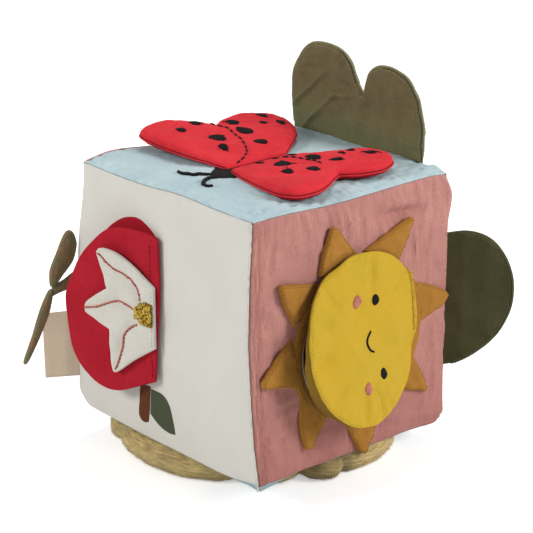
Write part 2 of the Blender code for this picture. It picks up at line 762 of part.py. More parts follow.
def build_round_leaf():
    """Round leaf in the upright seam between the sun side and the leaf side."""
    place = corner_matrix(1, -1, ROUND_LEAF_TURN, BASE + ROUND_LEAF_BOTTOM)
    moved = [[(x - SEAM_STAND, y) for x, y in run] for run in ROUND_LEAF_RUNS]
    build_leaf("round_leaf", moved, place, ("_front_cloth", "_back_cloth"))


def build_sprout():
    """Stalk and two leaves in the upright seam between the apple and sprout sides."""
    place = corner_matrix(-1, 1, SPROUT_TURN, BASE + SPROUT_BOTTOM)

    def pod(name, runs, thick, roll):
        loop = outline([[(x - SEAM_STAND, y) for x, y in run] for run in runs], SPROUT_STEP)

        def half(d):
            return thick * (0.35 + 0.65 * rounded(d, roll))

        layer(name, loop, lambda x, y, d: (x, y, half(d)), lambda x, y, d: (x, y, -half(d)),
              place, "olive_cloth", rims=(1.6,), cell=5.0)

    pod("sprout_stalk", STALK_RUNS, 1.6, 4.0)
    pod("sprout_upper_leaf", UPPER_LEAF_RUNS, 2.4, 5.0)
    pod("sprout_lower_leaf", LOWER_LEAF_RUNS, 2.2, 4.0)


def build_label():
    """Folded ribbon tab, left blank."""
    place = corner_matrix(-1, 1, LABEL_TURN, BASE + LABEL_BOTTOM)
    low, high = -SEAM_STAND, LABEL_REACH - SEAM_STAND
    corners = [(low, 0), (high, -LABEL_DROOP), (high, LABEL_HEIGHT - LABEL_DROOP), (low, LABEL_HEIGHT)]
    loop = outline([[a, b] for a, b in zip(corners, corners[1:] + corners[:1])], LABEL_STEP)
    half = LABEL_THICK / 2.0
    layer("label_tab", loop, lambda x, y, d: (x, y, half), lambda x, y, d: (x, y, -half), place, "ribbon")


def main():
    """Build every piece."""
    clear_scene()
    collection = bpy.data.collections.new("soft_fabric_block")
    bpy.context.scene.collection.children.link(collection)
    build_fill()
    for face in FACES:
        build_panel(face)
    build_pad()
    build_wing("left", 1, LEFT_WING_LIFT, LEFT_WING_RUNS)
    build_wing("right", -1, RIGHT_WING_LIFT, RIGHT_WING_RUNS)
    build_apple()
    build_mirror()
    for number, (base_turn, tip_turn, reach) in enumerate(RAYS, 1):
        build_ray(number, base_turn, tip_turn, reach)
    build_sun_flap()
    build_tall_leaf()
    build_round_leaf()
    build_sprout()
    build_label()


main()
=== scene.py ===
# %% [markdown]
# # A soft fabric activity block
# A stuffed cloth cube for a baby stands on a plush pad. It has a butterfly, an
# apple with a flower, a sun over a mirror, and a few cloth leaves sewn to it.
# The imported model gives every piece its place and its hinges. This notebook
# sews the cloth that shows: each cell makes one piece or one finish.

import math
from collections import namedtuple

import bpy
import numpy as np
from mathutils import Matrix, Vector
from mathutils.geometry import delaunay_2d_cdt


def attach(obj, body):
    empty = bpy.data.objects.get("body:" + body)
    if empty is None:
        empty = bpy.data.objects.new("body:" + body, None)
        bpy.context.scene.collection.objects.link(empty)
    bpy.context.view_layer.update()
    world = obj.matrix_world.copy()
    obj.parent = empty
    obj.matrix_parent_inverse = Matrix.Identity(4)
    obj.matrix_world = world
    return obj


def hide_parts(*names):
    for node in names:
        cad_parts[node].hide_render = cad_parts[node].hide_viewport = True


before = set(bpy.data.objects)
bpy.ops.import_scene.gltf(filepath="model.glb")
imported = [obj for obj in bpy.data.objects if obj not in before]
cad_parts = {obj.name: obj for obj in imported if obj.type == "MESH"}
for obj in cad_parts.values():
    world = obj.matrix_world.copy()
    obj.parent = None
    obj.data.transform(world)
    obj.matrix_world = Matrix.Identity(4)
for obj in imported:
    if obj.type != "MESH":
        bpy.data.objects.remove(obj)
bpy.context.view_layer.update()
MM = 0.001

# %% [markdown]
# ## The camera
# The view was found by fitting a camera to the cube's straight seams. The
# target is given as steps to the right and up from the middle of the cube,
# because that is how a photographer frames: first the turn, then the pan.

# %% Camera
PAD_HEIGHT = 16.0
HALF = 75.0
MID_Z = PAD_HEIGHT + HALF
TOP = PAD_HEIGHT + 2 * HALF
AZIMUTH = math.radians(-42.33)
ELEVATION = math.radians(19.76)
CAMERA_WAY = 1067.61
PAN_RIGHT = 2.33
PAN_UP = 14.26
FOCAL_PIXELS = 1844.87
FRAME_PIXELS = 533.0
SENSOR_WIDTH = 36.0

level_way = math.cos(ELEVATION)
back = Vector((math.sin(AZIMUTH) * level_way, -math.cos(AZIMUTH) * level_way, math.sin(ELEVATION)))
right = Vector((0, 0, 1)).cross(back).normalized()
up = back.cross(right)
target = Vector((0, 0, MID_Z)) + right * PAN_RIGHT + up * PAN_UP
lens = bpy.data.cameras.new("camera")
lens.sensor_width = SENSOR_WIDTH
lens.lens = SENSOR_WIDTH * FOCAL_PIXELS / FRAME_PIXELS
lens.clip_end = 20.0
camera = bpy.data.objects.new("camera", lens)
turned = Matrix((right, up, back)).transposed().to_4x4()
camera.matrix_world = Matrix.Translation((target + back * CAMERA_WAY) * MM) @ turned
bpy.context.scene.collection.objects.link(camera)
bpy.context.scene.camera = camera
bpy.context.scene.view_settings.view_transform = "Standard"
print("lens", round(lens.lens, 1), "mm")

# %% [markdown]
# ## Light and floor
# The toy was photographed on white, in very soft light from the upper left.
# A pale sky gives the fill and one big lamp gives the direction. The floor is
# white cloth paper: it keeps the shadow, and what the camera sees of it is
# lifted a little towards white, without adding light to the toy. Every shader
# is built from nodes, so the helpers for them come first.

# %% Node helpers, lamps, sky and floor
SKIN = "Principled BSDF"
WHITE = (1.0, 1.0, 1.0, 1.0)
PAPER_GREY = (0.9, 0.9, 0.9, 1.0)
SKY_STRENGTH = 0.35
PAPER_LIFT = 0.46
FLOOR_REACH = 6.0


def add_node(owner, kind, links=(), **settings):
    """New shader node. links are (input name or number, socket or value) pairs."""
    node = owner.node_tree.nodes.new(kind)
    for key, value in settings.items():
        setattr(node, key, value)
    for name, value in links:
        if isinstance(value, bpy.types.NodeSocket):
            owner.node_tree.links.new(value, node.inputs[name])
        else:
            node.inputs[name].default_value = value
    return node


def feed(owner, socket, node_name, name):
    """Link a socket into an input of a node that the owner already has."""
    owner.node_tree.links.new(socket, owner.node_tree.nodes[node_name].inputs[name])


def new_material(name, finish):
    """Material with a finish, given as (input name, value) pairs of its surface."""
    material = bpy.data.materials.new(name)
    material.use_nodes = True
    for key, value in finish:
        material.node_tree.nodes[SKIN].inputs[key].default_value = value
    return material

def area_lamp(name, place, size, watts):
    """Soft square lamp, aimed at the middle of the cube."""
    data = bpy.data.lights.new(name, "AREA")
    data.size = size
    data.energy = watts
    lamp = bpy.data.objects.new(name, data)
    lamp.location = place
    aim = Vector((0, 0, MID_Z * MM)) - Vector(place)
    lamp.rotation_euler = aim.to_track_quat("-Z", "Y").to_euler()
    bpy.context.scene.collection.objects.link(lamp)


area_lamp("overhead_softbox", (0.50, 0.30, 1.40), 0.5, 5.2)
area_lamp("left_window", (-1.50, 0.55, 0.95), 0.5, 15.8)
area_lamp("right_reflector", (0.85, -1.45, 0.95), 0.65, 22.5)

sky = bpy.data.worlds.new("studio")
sky.use_nodes = True
bpy.context.scene.world = sky
sky_light = sky.node_tree.nodes["Background"]
sky_light.inputs["Color"].default_value = WHITE
sky_light.inputs["Strength"].default_value = SKY_STRENGTH
sky_seen = add_node(sky, "ShaderNodeBackground", [("Color", WHITE), ("Strength", 1.0)])
ray_kind = add_node(sky, "ShaderNodeLightPath").outputs
seen_rays = [(0, ray_kind["Is Camera Ray"]), (1, ray_kind["Is Glossy Ray"])]
seen = add_node(sky, "ShaderNodeMath", seen_rays, operation="MAXIMUM")
sky_parts = [("Fac", seen.outputs[0]), (1, sky_light.outputs[0]), (2, sky_seen.outputs[0])]
feed(sky, add_node(sky, "ShaderNodeMixShader", sky_parts).outputs[0], "World Output", "Surface")

floor_mesh = bpy.data.meshes.new("floor")
floor_corners = [(FLOOR_REACH * x, FLOOR_REACH * y, 0) for x, y in ((-1, -1), (1, -1), (1, 1), (-1, 1))]
floor_mesh.from_pydata(floor_corners, [], [(0, 1, 2, 3)])
floor = bpy.data.objects.new("floor", floor_mesh)
bpy.context.scene.collection.objects.link(floor)
paper = new_material("floor_paper", [("Base Color", PAPER_GREY), ("Roughness", 1.0),
        ("Specular IOR Level", 0.0)])
paper_base = paper.node_tree.nodes[SKIN].outputs[0]
paper_glow = add_node(paper, "ShaderNodeEmission", [("Strength", PAPER_LIFT)])
paper_sum = add_node(paper, "ShaderNodeAddShader", [(0, paper_base), (1, paper_glow.outputs[0])])
paper_ray = add_node(paper, "ShaderNodeLightPath").outputs["Is Camera Ray"]
paper_parts = [("Fac", paper_ray), (1, paper_base), (2, paper_sum.outputs[0])]
feed(paper, add_node(paper, "ShaderNodeMixShader", paper_parts).outputs[0], "Material Output", "Surface")
floor_mesh.materials.append(paper)
print("lamps:", [o.name for o in bpy.data.objects if o.type == "LIGHT"])

# %% [markdown]
# ## Cloth finishes
# Every cloth here is a plain weave, seen from about a metre. At that distance
# the eye catches three things: slubs, which are threads a little thicker than
# their neighbours, a soft mottling where the cloth has been handled, and the
# fine grid of the weave. All three are procedural and use the UV map, which
# holds the flat pattern in millimetres, so the threads follow the cloth.

# %% Cloth materials
def scaled_noise(material, vector, scale, detail=2.0):
    """Noise that is stretched by scale, a (x, y, z) multiplier of the coordinates."""
    mapped = add_node(material, "ShaderNodeMapping", [("Vector", vector), ("Scale", scale)])
    links = [("Vector", mapped.outputs[0]), ("Scale", 1.0), ("Detail", detail)]
    return add_node(material, "ShaderNodeTexNoise", links).outputs["Fac"]


def weave_bands(material, vector, scale, way):
    """Fine parallel bands across the X or the Y direction, one for each thread."""
    links = [("Vector", vector), ("Scale", scale), ("Distortion", 0.6)]
    return add_node(material, "ShaderNodeTexWave", links, bands_direction=way).outputs["Fac"]


def weighted(material, first, second, share):
    """Mix of two numbers: share of the second."""
    links = [(0, share), (2, first), (3, second)]
    return add_node(material, "ShaderNodeMix", links, data_type="FLOAT").outputs[0]


def ranged(material, value, low, high, start=0.3, end=0.7):
    """value from start..end, spread over low..high."""
    links = [("Value", value), ("From Min", start), ("From Max", end), ("To Min", low), ("To Max", high)]
    return add_node(material, "ShaderNodeMapRange", links).outputs[0]


def maths(material, operation, *values):
    """Result of one calculation on numbers and sockets."""
    return add_node(material, "ShaderNodeMath", enumerate(values), operation=operation).outputs[0]


def paint(material, colour, light):
    """Give the surface a colour, made lighter or darker by a number."""
    tinted = add_node(material, "ShaderNodeVectorMath", [(0, colour), ("Scale", light)], operation="SCALE")
    feed(material, tinted.outputs[0], SKIN, "Base Color")


def emboss(material, strength, distance, height):
    """Give the surface a bump. distance is in metres."""
    links = [("Strength", strength), ("Distance", distance), ("Height", height)]
    feed(material, add_node(material, "ShaderNodeBump", links).outputs[0], SKIN, "Normal")


def cloth_height(material, place, threads_high, crinkle):
    """Relief of the weave, with fine creases over it where the cloth is crinkled."""
    if not crinkle:
        return threads_high
    coarse = scaled_noise(material, place, (0.28, 0.11, 1.0), 3.0)
    fine = scaled_noise(material, place, (0.85, 0.45, 1.0), 4.0)
    return maths(material, "MULTIPLY_ADD", weighted(material, coarse, fine, 0.45), crinkle, threads_high)


def cloth(name, colour, second=None, slub=0.10, mottle=0.06, crinkle=0.0, bump=0.5, weave=0.62,
          sheen=0.04, blotch=0.03, relief=0.0006, painted_light_heights=None):
    """Plain weave. Colours are linear RGB; second shows in random blotches, and more above
    painted_light_heights, which paint light and shade that change with height.
    """
    finish = [("Roughness", 0.95), ("Specular IOR Level", 0.06), ("Sheen Weight", sheen),
              ("Sheen Roughness", 0.5)]
    material = new_material(name, finish)
    place = add_node(material, "ShaderNodeUVMap").outputs[0]
    slub_ways = [scaled_noise(material, place, scale) for scale in ((1.5, 0.09, 1.0), (0.09, 1.5, 1.0))]
    slubs = weighted(material, *slub_ways, 0.5)
    grid = maths(material, "MULTIPLY", *(weave_bands(material, place, weave, way) for way in "XY"))
    cloud = scaled_noise(material, place, (blotch, blotch, 1.0), 4.0)
    slub_light = ranged(material, slubs, 1.0 - slub, 1.0 + slub, 0.35, 0.65)
    cloud_light = ranged(material, cloud, 1.0 - mottle, 1.0 + mottle)
    grid_light = ranged(material, grid, 1.0 - 0.5 * slub, 1.0 + 0.3 * slub, 0.0, 1.0)
    light = maths(material, "MULTIPLY", maths(material, "MULTIPLY", slub_light, cloud_light), grid_light)
    share = ranged(material, cloud, 0.0, 1.0, 0.38, 0.66)
    if painted_light_heights:
        high = add_node(material, "ShaderNodeSeparateXYZ", [(0, place)]).outputs["Y"]
        share = weighted(material, share, ranged(material, high, 0.0, 1.0, *painted_light_heights), 0.7)
    colours = [(0, share), (6, (*colour, 1.0)), (7, (*(second or colour), 1.0))]
    paint(material, add_node(material, "ShaderNodeMix", colours, data_type="RGBA").outputs[2], light)
    emboss(material, bump, relief, cloth_height(material, place, weighted(material, slubs, grid, 0.35),
            crinkle))
    return material


SKY = cloth("sky_blue_cotton", (0.46, 0.60, 0.635), (0.52, 0.645, 0.67), slub=0.05, mottle=0.05, crinkle=0.7,
            relief=0.0008)
CREAM = cloth("cream_cotton", (0.66, 0.64, 0.58), slub=0.014, mottle=0.025, bump=0.3)
# The bottom panel is the top's blue cloth painted darker, as painted shade on the face turned to the floor.
BOTTOM_PAINTED_SHADE_BLUE = cloth("bottom_painted_shade_cotton", (0.30, 0.40, 0.44), slub=0.05, mottle=0.04)
# The rose side is painted darker towards its bottom, as painted shade; its two colours also mix in random
# blotches.
ROSE = cloth("rose_muslin", (0.50, 0.205, 0.180), (0.635, 0.298, 0.257), slub=0.06, crinkle=2.6, bump=0.8,
             relief=0.0009, painted_light_heights=(-78.0, -20.0))
WING_RED = cloth("wing_red_cotton", (0.79, 0.033, 0.047), (0.82, 0.043, 0.056), slub=0.12, crinkle=0.6,
        bump=0.9)
APPLE_RED = cloth("apple_red_cotton", (0.425, 0.012, 0.026), (0.455, 0.016, 0.030))
# The apple patch is the apple's red painted darker, as painted shade from the flap over it.
PATCH_SHADE_RED = cloth("patch_red_painted_shade_cotton", (0.37, 0.009, 0.020), slub=0.09, mottle=0.05)
PETAL = cloth("petal_cotton", (0.70, 0.68, 0.61), (0.66, 0.63, 0.55), slub=0.05, mottle=0.04)
# The wings' underside is the wing red painted darker, as painted shade under the wings.
WING_SHADE = cloth("wing_underside_painted_shade_cotton", (0.38, 0.013, 0.020), slub=0.12)
SUN_YELLOW = cloth("sun_yellow_cotton", (0.60, 0.40, 0.035), (0.56, 0.35, 0.028), slub=0.05, mottle=0.08,
                   crinkle=0.7)
# The sun's lining and its stuffed wall are the sun's yellow painted darker, as painted shade on the side
# turned down and away.
SUN_LINING_SHADE = cloth("sun_lining_painted_shade_cotton", (0.22, 0.125, 0.016), slub=0.09)
OCHRE = cloth("ochre_cotton", (0.435, 0.203, 0.037), (0.39, 0.176, 0.032), slub=0.11, mottle=0.08)
# The tall leaf is painted greener and lighter near its base, as painted bounce light from the blue top; its
# brown blotches are its own colour.
LEAF_GREEN = cloth("leaf_green_cotton", (0.200, 0.200, 0.094), (0.178, 0.140, 0.072), slub=0.12, mottle=0.08,
                   crinkle=0.9, bump=0.8, blotch=0.045, relief=0.0008, painted_light_heights=(6.0, 30.0))
ROUND_GREEN = cloth("round_leaf_cotton", (0.074, 0.072, 0.032), (0.088, 0.078, 0.037), slub=0.13, mottle=0.10)
SPROUT_GREEN = cloth("sprout_cotton", (0.205, 0.205, 0.105), (0.26, 0.143, 0.080), slub=0.16, mottle=0.14,
                     crinkle=0.9, blotch=0.12, relief=0.0008)
RIBBON = cloth("ribbon_satin", (0.655, 0.52, 0.388), slub=0.05, mottle=0.03, weave=1.0, sheen=0.1)
PRINT_BROWN = cloth("print_brown", (0.125, 0.040, 0.016), slub=0.08, mottle=0.05)
PRINT_GREEN = cloth("print_green", (0.070, 0.082, 0.047), slub=0.08, mottle=0.05)
print("cloths:", len([m for m in bpy.data.materials if "cotton" in m.name]))

# %% [markdown]
# ## Thread, mirror film and plush
# Embroidery thread is a little shinier than cloth, and its strands twist. The
# mirror is silvered plastic film. Plush is short pile: streaky, pale at the
# tips and dark where it parts.

# %% Thread, film and plush materials
def thread(name, colour, roughness=0.6):
    """Embroidery thread: one colour with a slight change of light along it."""
    material = new_material(name, [("Roughness", roughness), ("Specular IOR Level", 0.08)])
    spot = add_node(material, "ShaderNodeTexCoord").outputs["Object"]
    paint(material, colour, ranged(material, scaled_noise(material, spot, (900.0, 900.0, 900.0)), 0.75, 1.25))
    return material


BLACK_THREAD = thread("black_thread", (0.011, 0.010, 0.011), 0.7)
ROSE_THREAD = thread("rose_thread", (0.50, 0.19, 0.14))
SEAM_THREAD = thread("dark_red_thread", (0.13, 0.004, 0.008))
ZIGZAG_THREAD = thread("zigzag_thread", (0.50, 0.29, 0.065))
VEIN_THREAD = thread("vein_thread", (0.50, 0.15, 0.11))
GOLD_THREAD = thread("gold_thread", (0.60, 0.42, 0.07), 0.4)
YELLOW_THREAD = thread("yellow_thread", (0.42, 0.25, 0.022))
BAND_THREAD = thread("band_thread", (0.52, 0.33, 0.035))
RIM_THREAD = thread("rim_thread", (0.26, 0.14, 0.018))
OCHRE_THREAD = thread("ochre_thread", (0.21, 0.095, 0.02))
RED_THREAD = thread("red_thread", (0.34, 0.016, 0.026))
SHADE_THREAD = thread("shade_thread", (0.13, 0.03, 0.025))
CREAM_THREAD = thread("cream_thread", (0.62, 0.58, 0.50))
GREEN_THREAD = thread("green_thread", (0.27, 0.28, 0.16))
GROOVE_SHADE_THREAD = thread("groove_painted_shade_thread", (0.040, 0.040, 0.022))
DEEP_THREAD = thread("deep_green_thread", (0.10, 0.105, 0.055))

MIRROR = new_material("mirror_film", [("Base Color", (0.26, 0.27, 0.28, 1.0)), ("Metallic", 1.0),
        ("Roughness", 0.16)])
film_place = add_node(MIRROR, "ShaderNodeTexCoord").outputs["Object"]
emboss(MIRROR, 0.25, 0.002, scaled_noise(MIRROR, film_place, (28.0, 28.0, 28.0), 1.0))

# Painted light and shade: the plush is painted lighter at the left and the right of the pad and darker
# between them, as shade under the cube.
PLUSH_SAND = (0.44, 0.33, 0.14)
PLUSH = new_material("sand_plush", [("Roughness", 1.0), ("Specular IOR Level", 0.1), ("Sheen Weight", 0.15),
                                    ("Sheen Roughness", 0.6)])
pile_place = add_node(PLUSH, "ShaderNodeTexCoord").outputs["Object"]
pile_streaks = scaled_noise(PLUSH, pile_place, (150.0, 150.0, 1200.0), 5.0)
pile_clouds = scaled_noise(PLUSH, pile_place, (60.0, 60.0, 90.0))
pile_side = add_node(PLUSH, "ShaderNodeSeparateXYZ", [(0, pile_place)]).outputs["X"]
pile_light = maths(PLUSH, "MULTIPLY", ranged(PLUSH, pile_streaks, 0.60, 1.32),
        ranged(PLUSH, pile_clouds, 0.88, 1.10))
painted_light_left = ranged(PLUSH, pile_side, 1.18, 0.78, -0.030, -0.022)
painted_light_right = ranged(PLUSH, pile_side, 0.0, 0.62, 0.0, 0.012)
pile_light = maths(PLUSH, "MULTIPLY", pile_light, maths(PLUSH, "ADD", painted_light_left, painted_light_right))
paint(PLUSH, PLUSH_SAND, pile_light)
emboss(PLUSH, 0.8, 0.0012, pile_streaks)

# %% [markdown]
# ## Cutting patterns
# A cloth piece starts as an outline, as on a cutting table. The outline is a
# few smooth runs that meet at corners. It is filled with points: rows that
# follow the edge, where the cloth bends most, and a staggered grid inside.
# Delaunay triangulation joins them. Blender's Fill would do this too, but it
# gives long thin triangles that can't carry wrinkles.

# %% Pattern helpers
Pattern = namedtuple("Pattern", "loop xy triangles rim away along")


def smooth_run(points, step):
    """Catmull-Rom curve through the points, evenly spaced, without its last point."""
    knots = np.array(points, float)
    if len(knots) > 2:
        ends = np.vstack([2 * knots[0] - knots[1], knots, 2 * knots[-1] - knots[-2]])
        a, b, c, d = ends[:-3], ends[1:-2], ends[2:-1], ends[3:]
        t = np.linspace(0, 1, 16, endpoint=False)[:, None, None]
        bend, twist = 2 * a - 5 * b + 4 * c - d, 3 * b - a - 3 * c + d
        dense = 0.5 * (2 * b + (c - a) * t + bend * t ** 2 + twist * t ** 3)
        knots = np.vstack([dense.transpose(1, 0, 2).reshape(-1, knots.shape[1]), knots[-1:]])
    lengths = np.concatenate([[0.0], np.cumsum(np.linalg.norm(np.diff(knots, axis=0), axis=1))])
    count = max(1, round(lengths[-1] / step))
    at = np.linspace(0.0, lengths[-1], count, endpoint=False)
    return np.column_stack([np.interp(at, lengths, knots[:, k]) for k in range(knots.shape[1])])


def outline(runs, step=2.0):
    """Closed outline from runs, counter-clockwise."""
    loop = np.vstack([smooth_run(run, step) for run in runs])
    after = np.roll(loop, -1, 0)
    area = (loop[:, 0] * after[:, 1] - loop[:, 1] * after[:, 0]).sum()
    return loop if area > 0 else loop[::-1]


def to_edge(points, loop):
    """Distance from each point to the loop, and how far along the loop the nearest spot is."""
    points = np.atleast_2d(points)[:, :2]
    step = np.roll(loop, -1, 0) - loop
    length = np.linalg.norm(step, axis=1)
    start = np.concatenate([[0.0], np.cumsum(length)[:-1]])
    offset = points[:, None, :] - loop[None]
    share = np.clip((offset * step).sum(2) / length ** 2, 0, 1)
    gap = np.linalg.norm(offset - share[..., None] * step, axis=2)
    nearest = gap.argmin(1)
    row = np.arange(len(points))
    return gap[row, nearest], start[nearest] + share[row, nearest] * length[nearest]


def inside(points, loop):
    """Whether each point lies inside the loop."""
    x, y = points[:, 0, None], points[:, 1, None]
    ax, ay = loop[:, 0], loop[:, 1]
    bx, by = np.roll(ax, -1), np.roll(ay, -1)
    crosses = (ay > y) != (by > y)
    with np.errstate(divide="ignore", invalid="ignore"):
        left = x < ax + (bx - ax) * (y - ay) / (by - ay)
    return (crosses & left).sum(1) % 2 == 1


def inset(loop, amount):
    """The loop moved inwards, thinned out where it would crowd or cross."""
    tangent = np.roll(loop, -1, 0) - np.roll(loop, 1, 0)
    tangent /= np.linalg.norm(tangent, axis=1)[:, None]
    moved = loop + np.column_stack([-tangent[:, 1], tangent[:, 0]]) * amount
    good = inside(moved, loop) & (to_edge(moved, loop)[0] > 0.93 * amount)
    kept = []
    for point in moved[good]:
        if not kept or np.linalg.norm(point - kept[-1]) > 0.45 * min(amount, 2.0):
            kept.append(point)
    return np.array(kept)


def inner_grid(loop, cell):
    """Staggered grid of points inside a loop."""
    low, high = loop.min(0), loop.max(0)
    x, y = np.meshgrid(np.arange(low[0], high[0], cell), np.arange(low[1], high[1], cell * 0.87))
    x[1::2] += cell / 2
    grid = np.column_stack([x.ravel(), y.ravel()])
    return grid[inside(grid, loop)]


def inner_triangles(triangles, border):
    """The triangles between the border edges, found by walking inwards from them."""
    owner = {edge: (a, b, c) for a, b, c in triangles for edge in ((a, b), (b, c), (c, a))}
    fence, waiting = set(border), [owner[edge] for edge in border]
    kept = set(waiting)
    while waiting:
        a, b, c = waiting.pop()
        for edge in ((a, b), (b, c), (c, a)):
            if edge not in fence and owner[edge[::-1]] not in kept:
                kept.add(owner[edge[::-1]])
                waiting.append(owner[edge[::-1]])
    return sorted(kept)


def cut(loop, rims=(0.5, 1.2, 2.2), cell=2.6, hole=None):
    """Pattern for an outline. hole holds the inner edge and the rows of points that follow it."""
    borders, rows = [loop], [inset(loop, rim) for rim in rims]
    grid = inner_grid(loop, cell)
    grid = grid[to_edge(grid, loop)[0] > max(rims) + 0.6 * cell]
    if hole:
        borders.append(hole[0][::-1])
        rows += hole[1:]
        grid = grid[~inside(grid, hole[-1])]
        grid = grid[to_edge(grid, hole[-1])[0] > 0.6 * cell]
    points = np.vstack(borders + [row for row in rows if len(row)] + [grid])
    rim, first = [], 0
    for border in borders:
        numbers = list(range(first, first + len(border)))
        rim += list(zip(numbers, numbers[1:] + numbers[:1]))
        first += len(border)
    flat, _, triangles = delaunay_2d_cdt([Vector(p) for p in points], rim, [], 0, 1e-5, False)[:3]
    xy = np.array([tuple(p) for p in flat])
    away, along = to_edge(xy, loop)
    if hole:
        away = np.minimum(away, to_edge(xy, hole[0])[0])
    away[:first] = 0.0
    return Pattern(loop, xy, inner_triangles(triangles, rim), rim, away, along)
# %% [markdown]
# ## Stuffing, wrinkles and sewing
# A stuffed edge rises steeply from its seam and then flattens. Cloth is
# gathered a little at a seam, so small puckers run in from it. Both are
# functions of the distance to the edge. Random waves with fixed seeds give
# the slow ups and downs, and the same script always gives the same cloth.

# %% Sewing helpers
def rounded(away, width):
    """0 at the seam, 1 once a width away from it, with a round shoulder."""
    share = np.clip(away / width, 0.0, 1.0)
    return np.sqrt(1.0 - (1.0 - share) ** 2)


def waves(points, length, seed, stretch=(1.0, 1.0), count=14):
    """Soft random waves, about -1 to 1, with wavelengths around length."""
    random = np.random.default_rng(seed)
    turn, phase = random.uniform(0, 2 * np.pi, (2, count))
    size = length * random.uniform(0.6, 1.5, count)
    direction = np.column_stack([np.cos(turn) / stretch[0], np.sin(turn) / stretch[1]])
    direction *= (2 * np.pi / size)[:, None]
    return np.sin(np.asarray(points)[:, :2] @ direction.T + phase).sum(1) / math.sqrt(count)


def waves_along(way, length, seed, count=14):
    """Soft random waves along a line, from the distance of each spot on it."""
    return waves(np.column_stack([way, np.zeros_like(way)]), length, seed, count=count)


def puckers(away, along, seed, pitch=5.0, reach=2.5):
    """Gathers that run in from a seam, about -1 to 1, strongest one reach away from it."""
    return waves_along(along, pitch, seed, 18) * (away / reach) * np.exp(1.0 - away / reach)


def add_mesh(name, verts, faces, uvs, material, place=Matrix.Identity(4), sharp=60.0):
    """Object from millimetre points. uvs holds one flat position for each point."""
    mesh = bpy.data.meshes.new(name)
    mesh.from_pydata((np.asarray(verts) * MM).tolist(), [], faces)
    layer = mesh.uv_layers.new(name="UVMap")
    corners = np.zeros(len(mesh.loops), np.int32)
    mesh.loops.foreach_get("vertex_index", corners)
    layer.data.foreach_set("uv", np.asarray(uvs, float)[corners].astype(np.float32).ravel())
    mesh.materials.append(material)
    piece = bpy.data.objects.new(name, mesh)
    bpy.context.scene.collection.objects.link(piece)
    moved = place.copy()
    moved.translation = moved.translation * MM
    piece.matrix_world = moved
    mesh.shade_smooth()
    mesh.set_sharp_from_angle(angle=math.radians(sharp))
    return piece


def sew(name, pattern, front, underside, material, place=Matrix.Identity(4), sharp=60.0):
    """Closed cloth piece from a pattern and the 3D points of its two faces."""
    count = len(pattern.xy)
    faces = list(pattern.triangles) + [(c + count, b + count, a + count) for a, b, c in pattern.triangles]
    faces += [(a, a + count, b + count, b) for a, b in pattern.rim]
    uvs = np.vstack([pattern.xy, pattern.xy + [3.0, 1.0]])
    return add_mesh(name, np.vstack([front, underside]), faces, uvs, material, place, sharp)
def flat_points(pattern, height):
    """The pattern's points at a height each."""
    return np.column_stack([pattern.xy, height])


def mount(piece, body, *nodes, slot=None):
    """Piece moves with a body and stands for CAD nodes. slot is not used."""
    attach(piece, body)
    if nodes:
        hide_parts(*nodes)
    return piece


# %% [markdown]
# ## Embroidery
# Embroidery is real thread on this toy, so it is built from thread. A running
# stitch is a row of short thick threads along a line. A satin patch is many
# threads laid side by side across a shape. Each thread is a thin tube that
# starts and ends in the cloth and rises over it, so it catches light as the
# real one does, which a painted patch would not.

# %% Thread helpers
THREAD_SIDES = 6


def tube(path, radius, out):
    """Points and faces of a closed tube along a path, with a radius for each of its points."""
    path = np.asarray(path, float)
    tangent = np.gradient(path, axis=0)
    tangent /= np.maximum(np.linalg.norm(tangent, axis=1), 1e-9)[:, None]
    side = np.cross(tangent, out)
    side /= np.maximum(np.linalg.norm(side, axis=1), 1e-9)[:, None]
    rise = np.cross(side, tangent)
    turns = np.linspace(0, 2 * np.pi, THREAD_SIDES, endpoint=False)[None, :, None]
    ring = np.cos(turns) * side[:, None] + np.sin(turns) * rise[:, None]
    verts = (path[:, None] + ring * radius[:, None, None]).reshape(-1, 3)
    faces = []
    for low in range(0, len(verts) - THREAD_SIDES, THREAD_SIDES):
        for j in range(THREAD_SIDES):
            a, b = low + j, low + (j + 1) % THREAD_SIDES
            faces.append((a, a + THREAD_SIDES, b + THREAD_SIDES, b))
    faces.append(tuple(range(THREAD_SIDES)))
    faces.append(tuple(range(len(verts) - 1, len(verts) - THREAD_SIDES - 1, -1)))
    return verts, faces


def threads(body, name, paths, radius, material, place=Matrix.Identity(4), taper=0.35, out=(0, 0, 1)):
    """One object made of many short threads, which moves with a body."""
    verts, faces, count = [], [], 0
    for path in paths:
        share = np.linspace(-1, 1, len(path))
        found, quads = tube(path, radius * (1.0 - (1.0 - taper) * share ** 4), out)
        verts.append(found)
        faces += [tuple(v + count for v in quad) for quad in quads]
        count += len(found)
    points = np.vstack(verts)
    return mount(add_mesh(name, points, faces, points[:, :2], material, place, 80.0), body)


def span(start, end, count=5):
    """Evenly spaced flat points from start to end."""
    start, end = np.array(start, float), np.array(end, float)
    return start + (end - start) * np.linspace(0, 1, count)[:, None]


def opened(loop):
    """A closed line with gaps in it, as one open line that starts after the longest gap."""
    jump = np.linalg.norm(np.diff(loop, axis=0, append=loop[:1]), axis=1)
    return np.roll(loop, -int(np.argmax(jump)) - 1, 0)


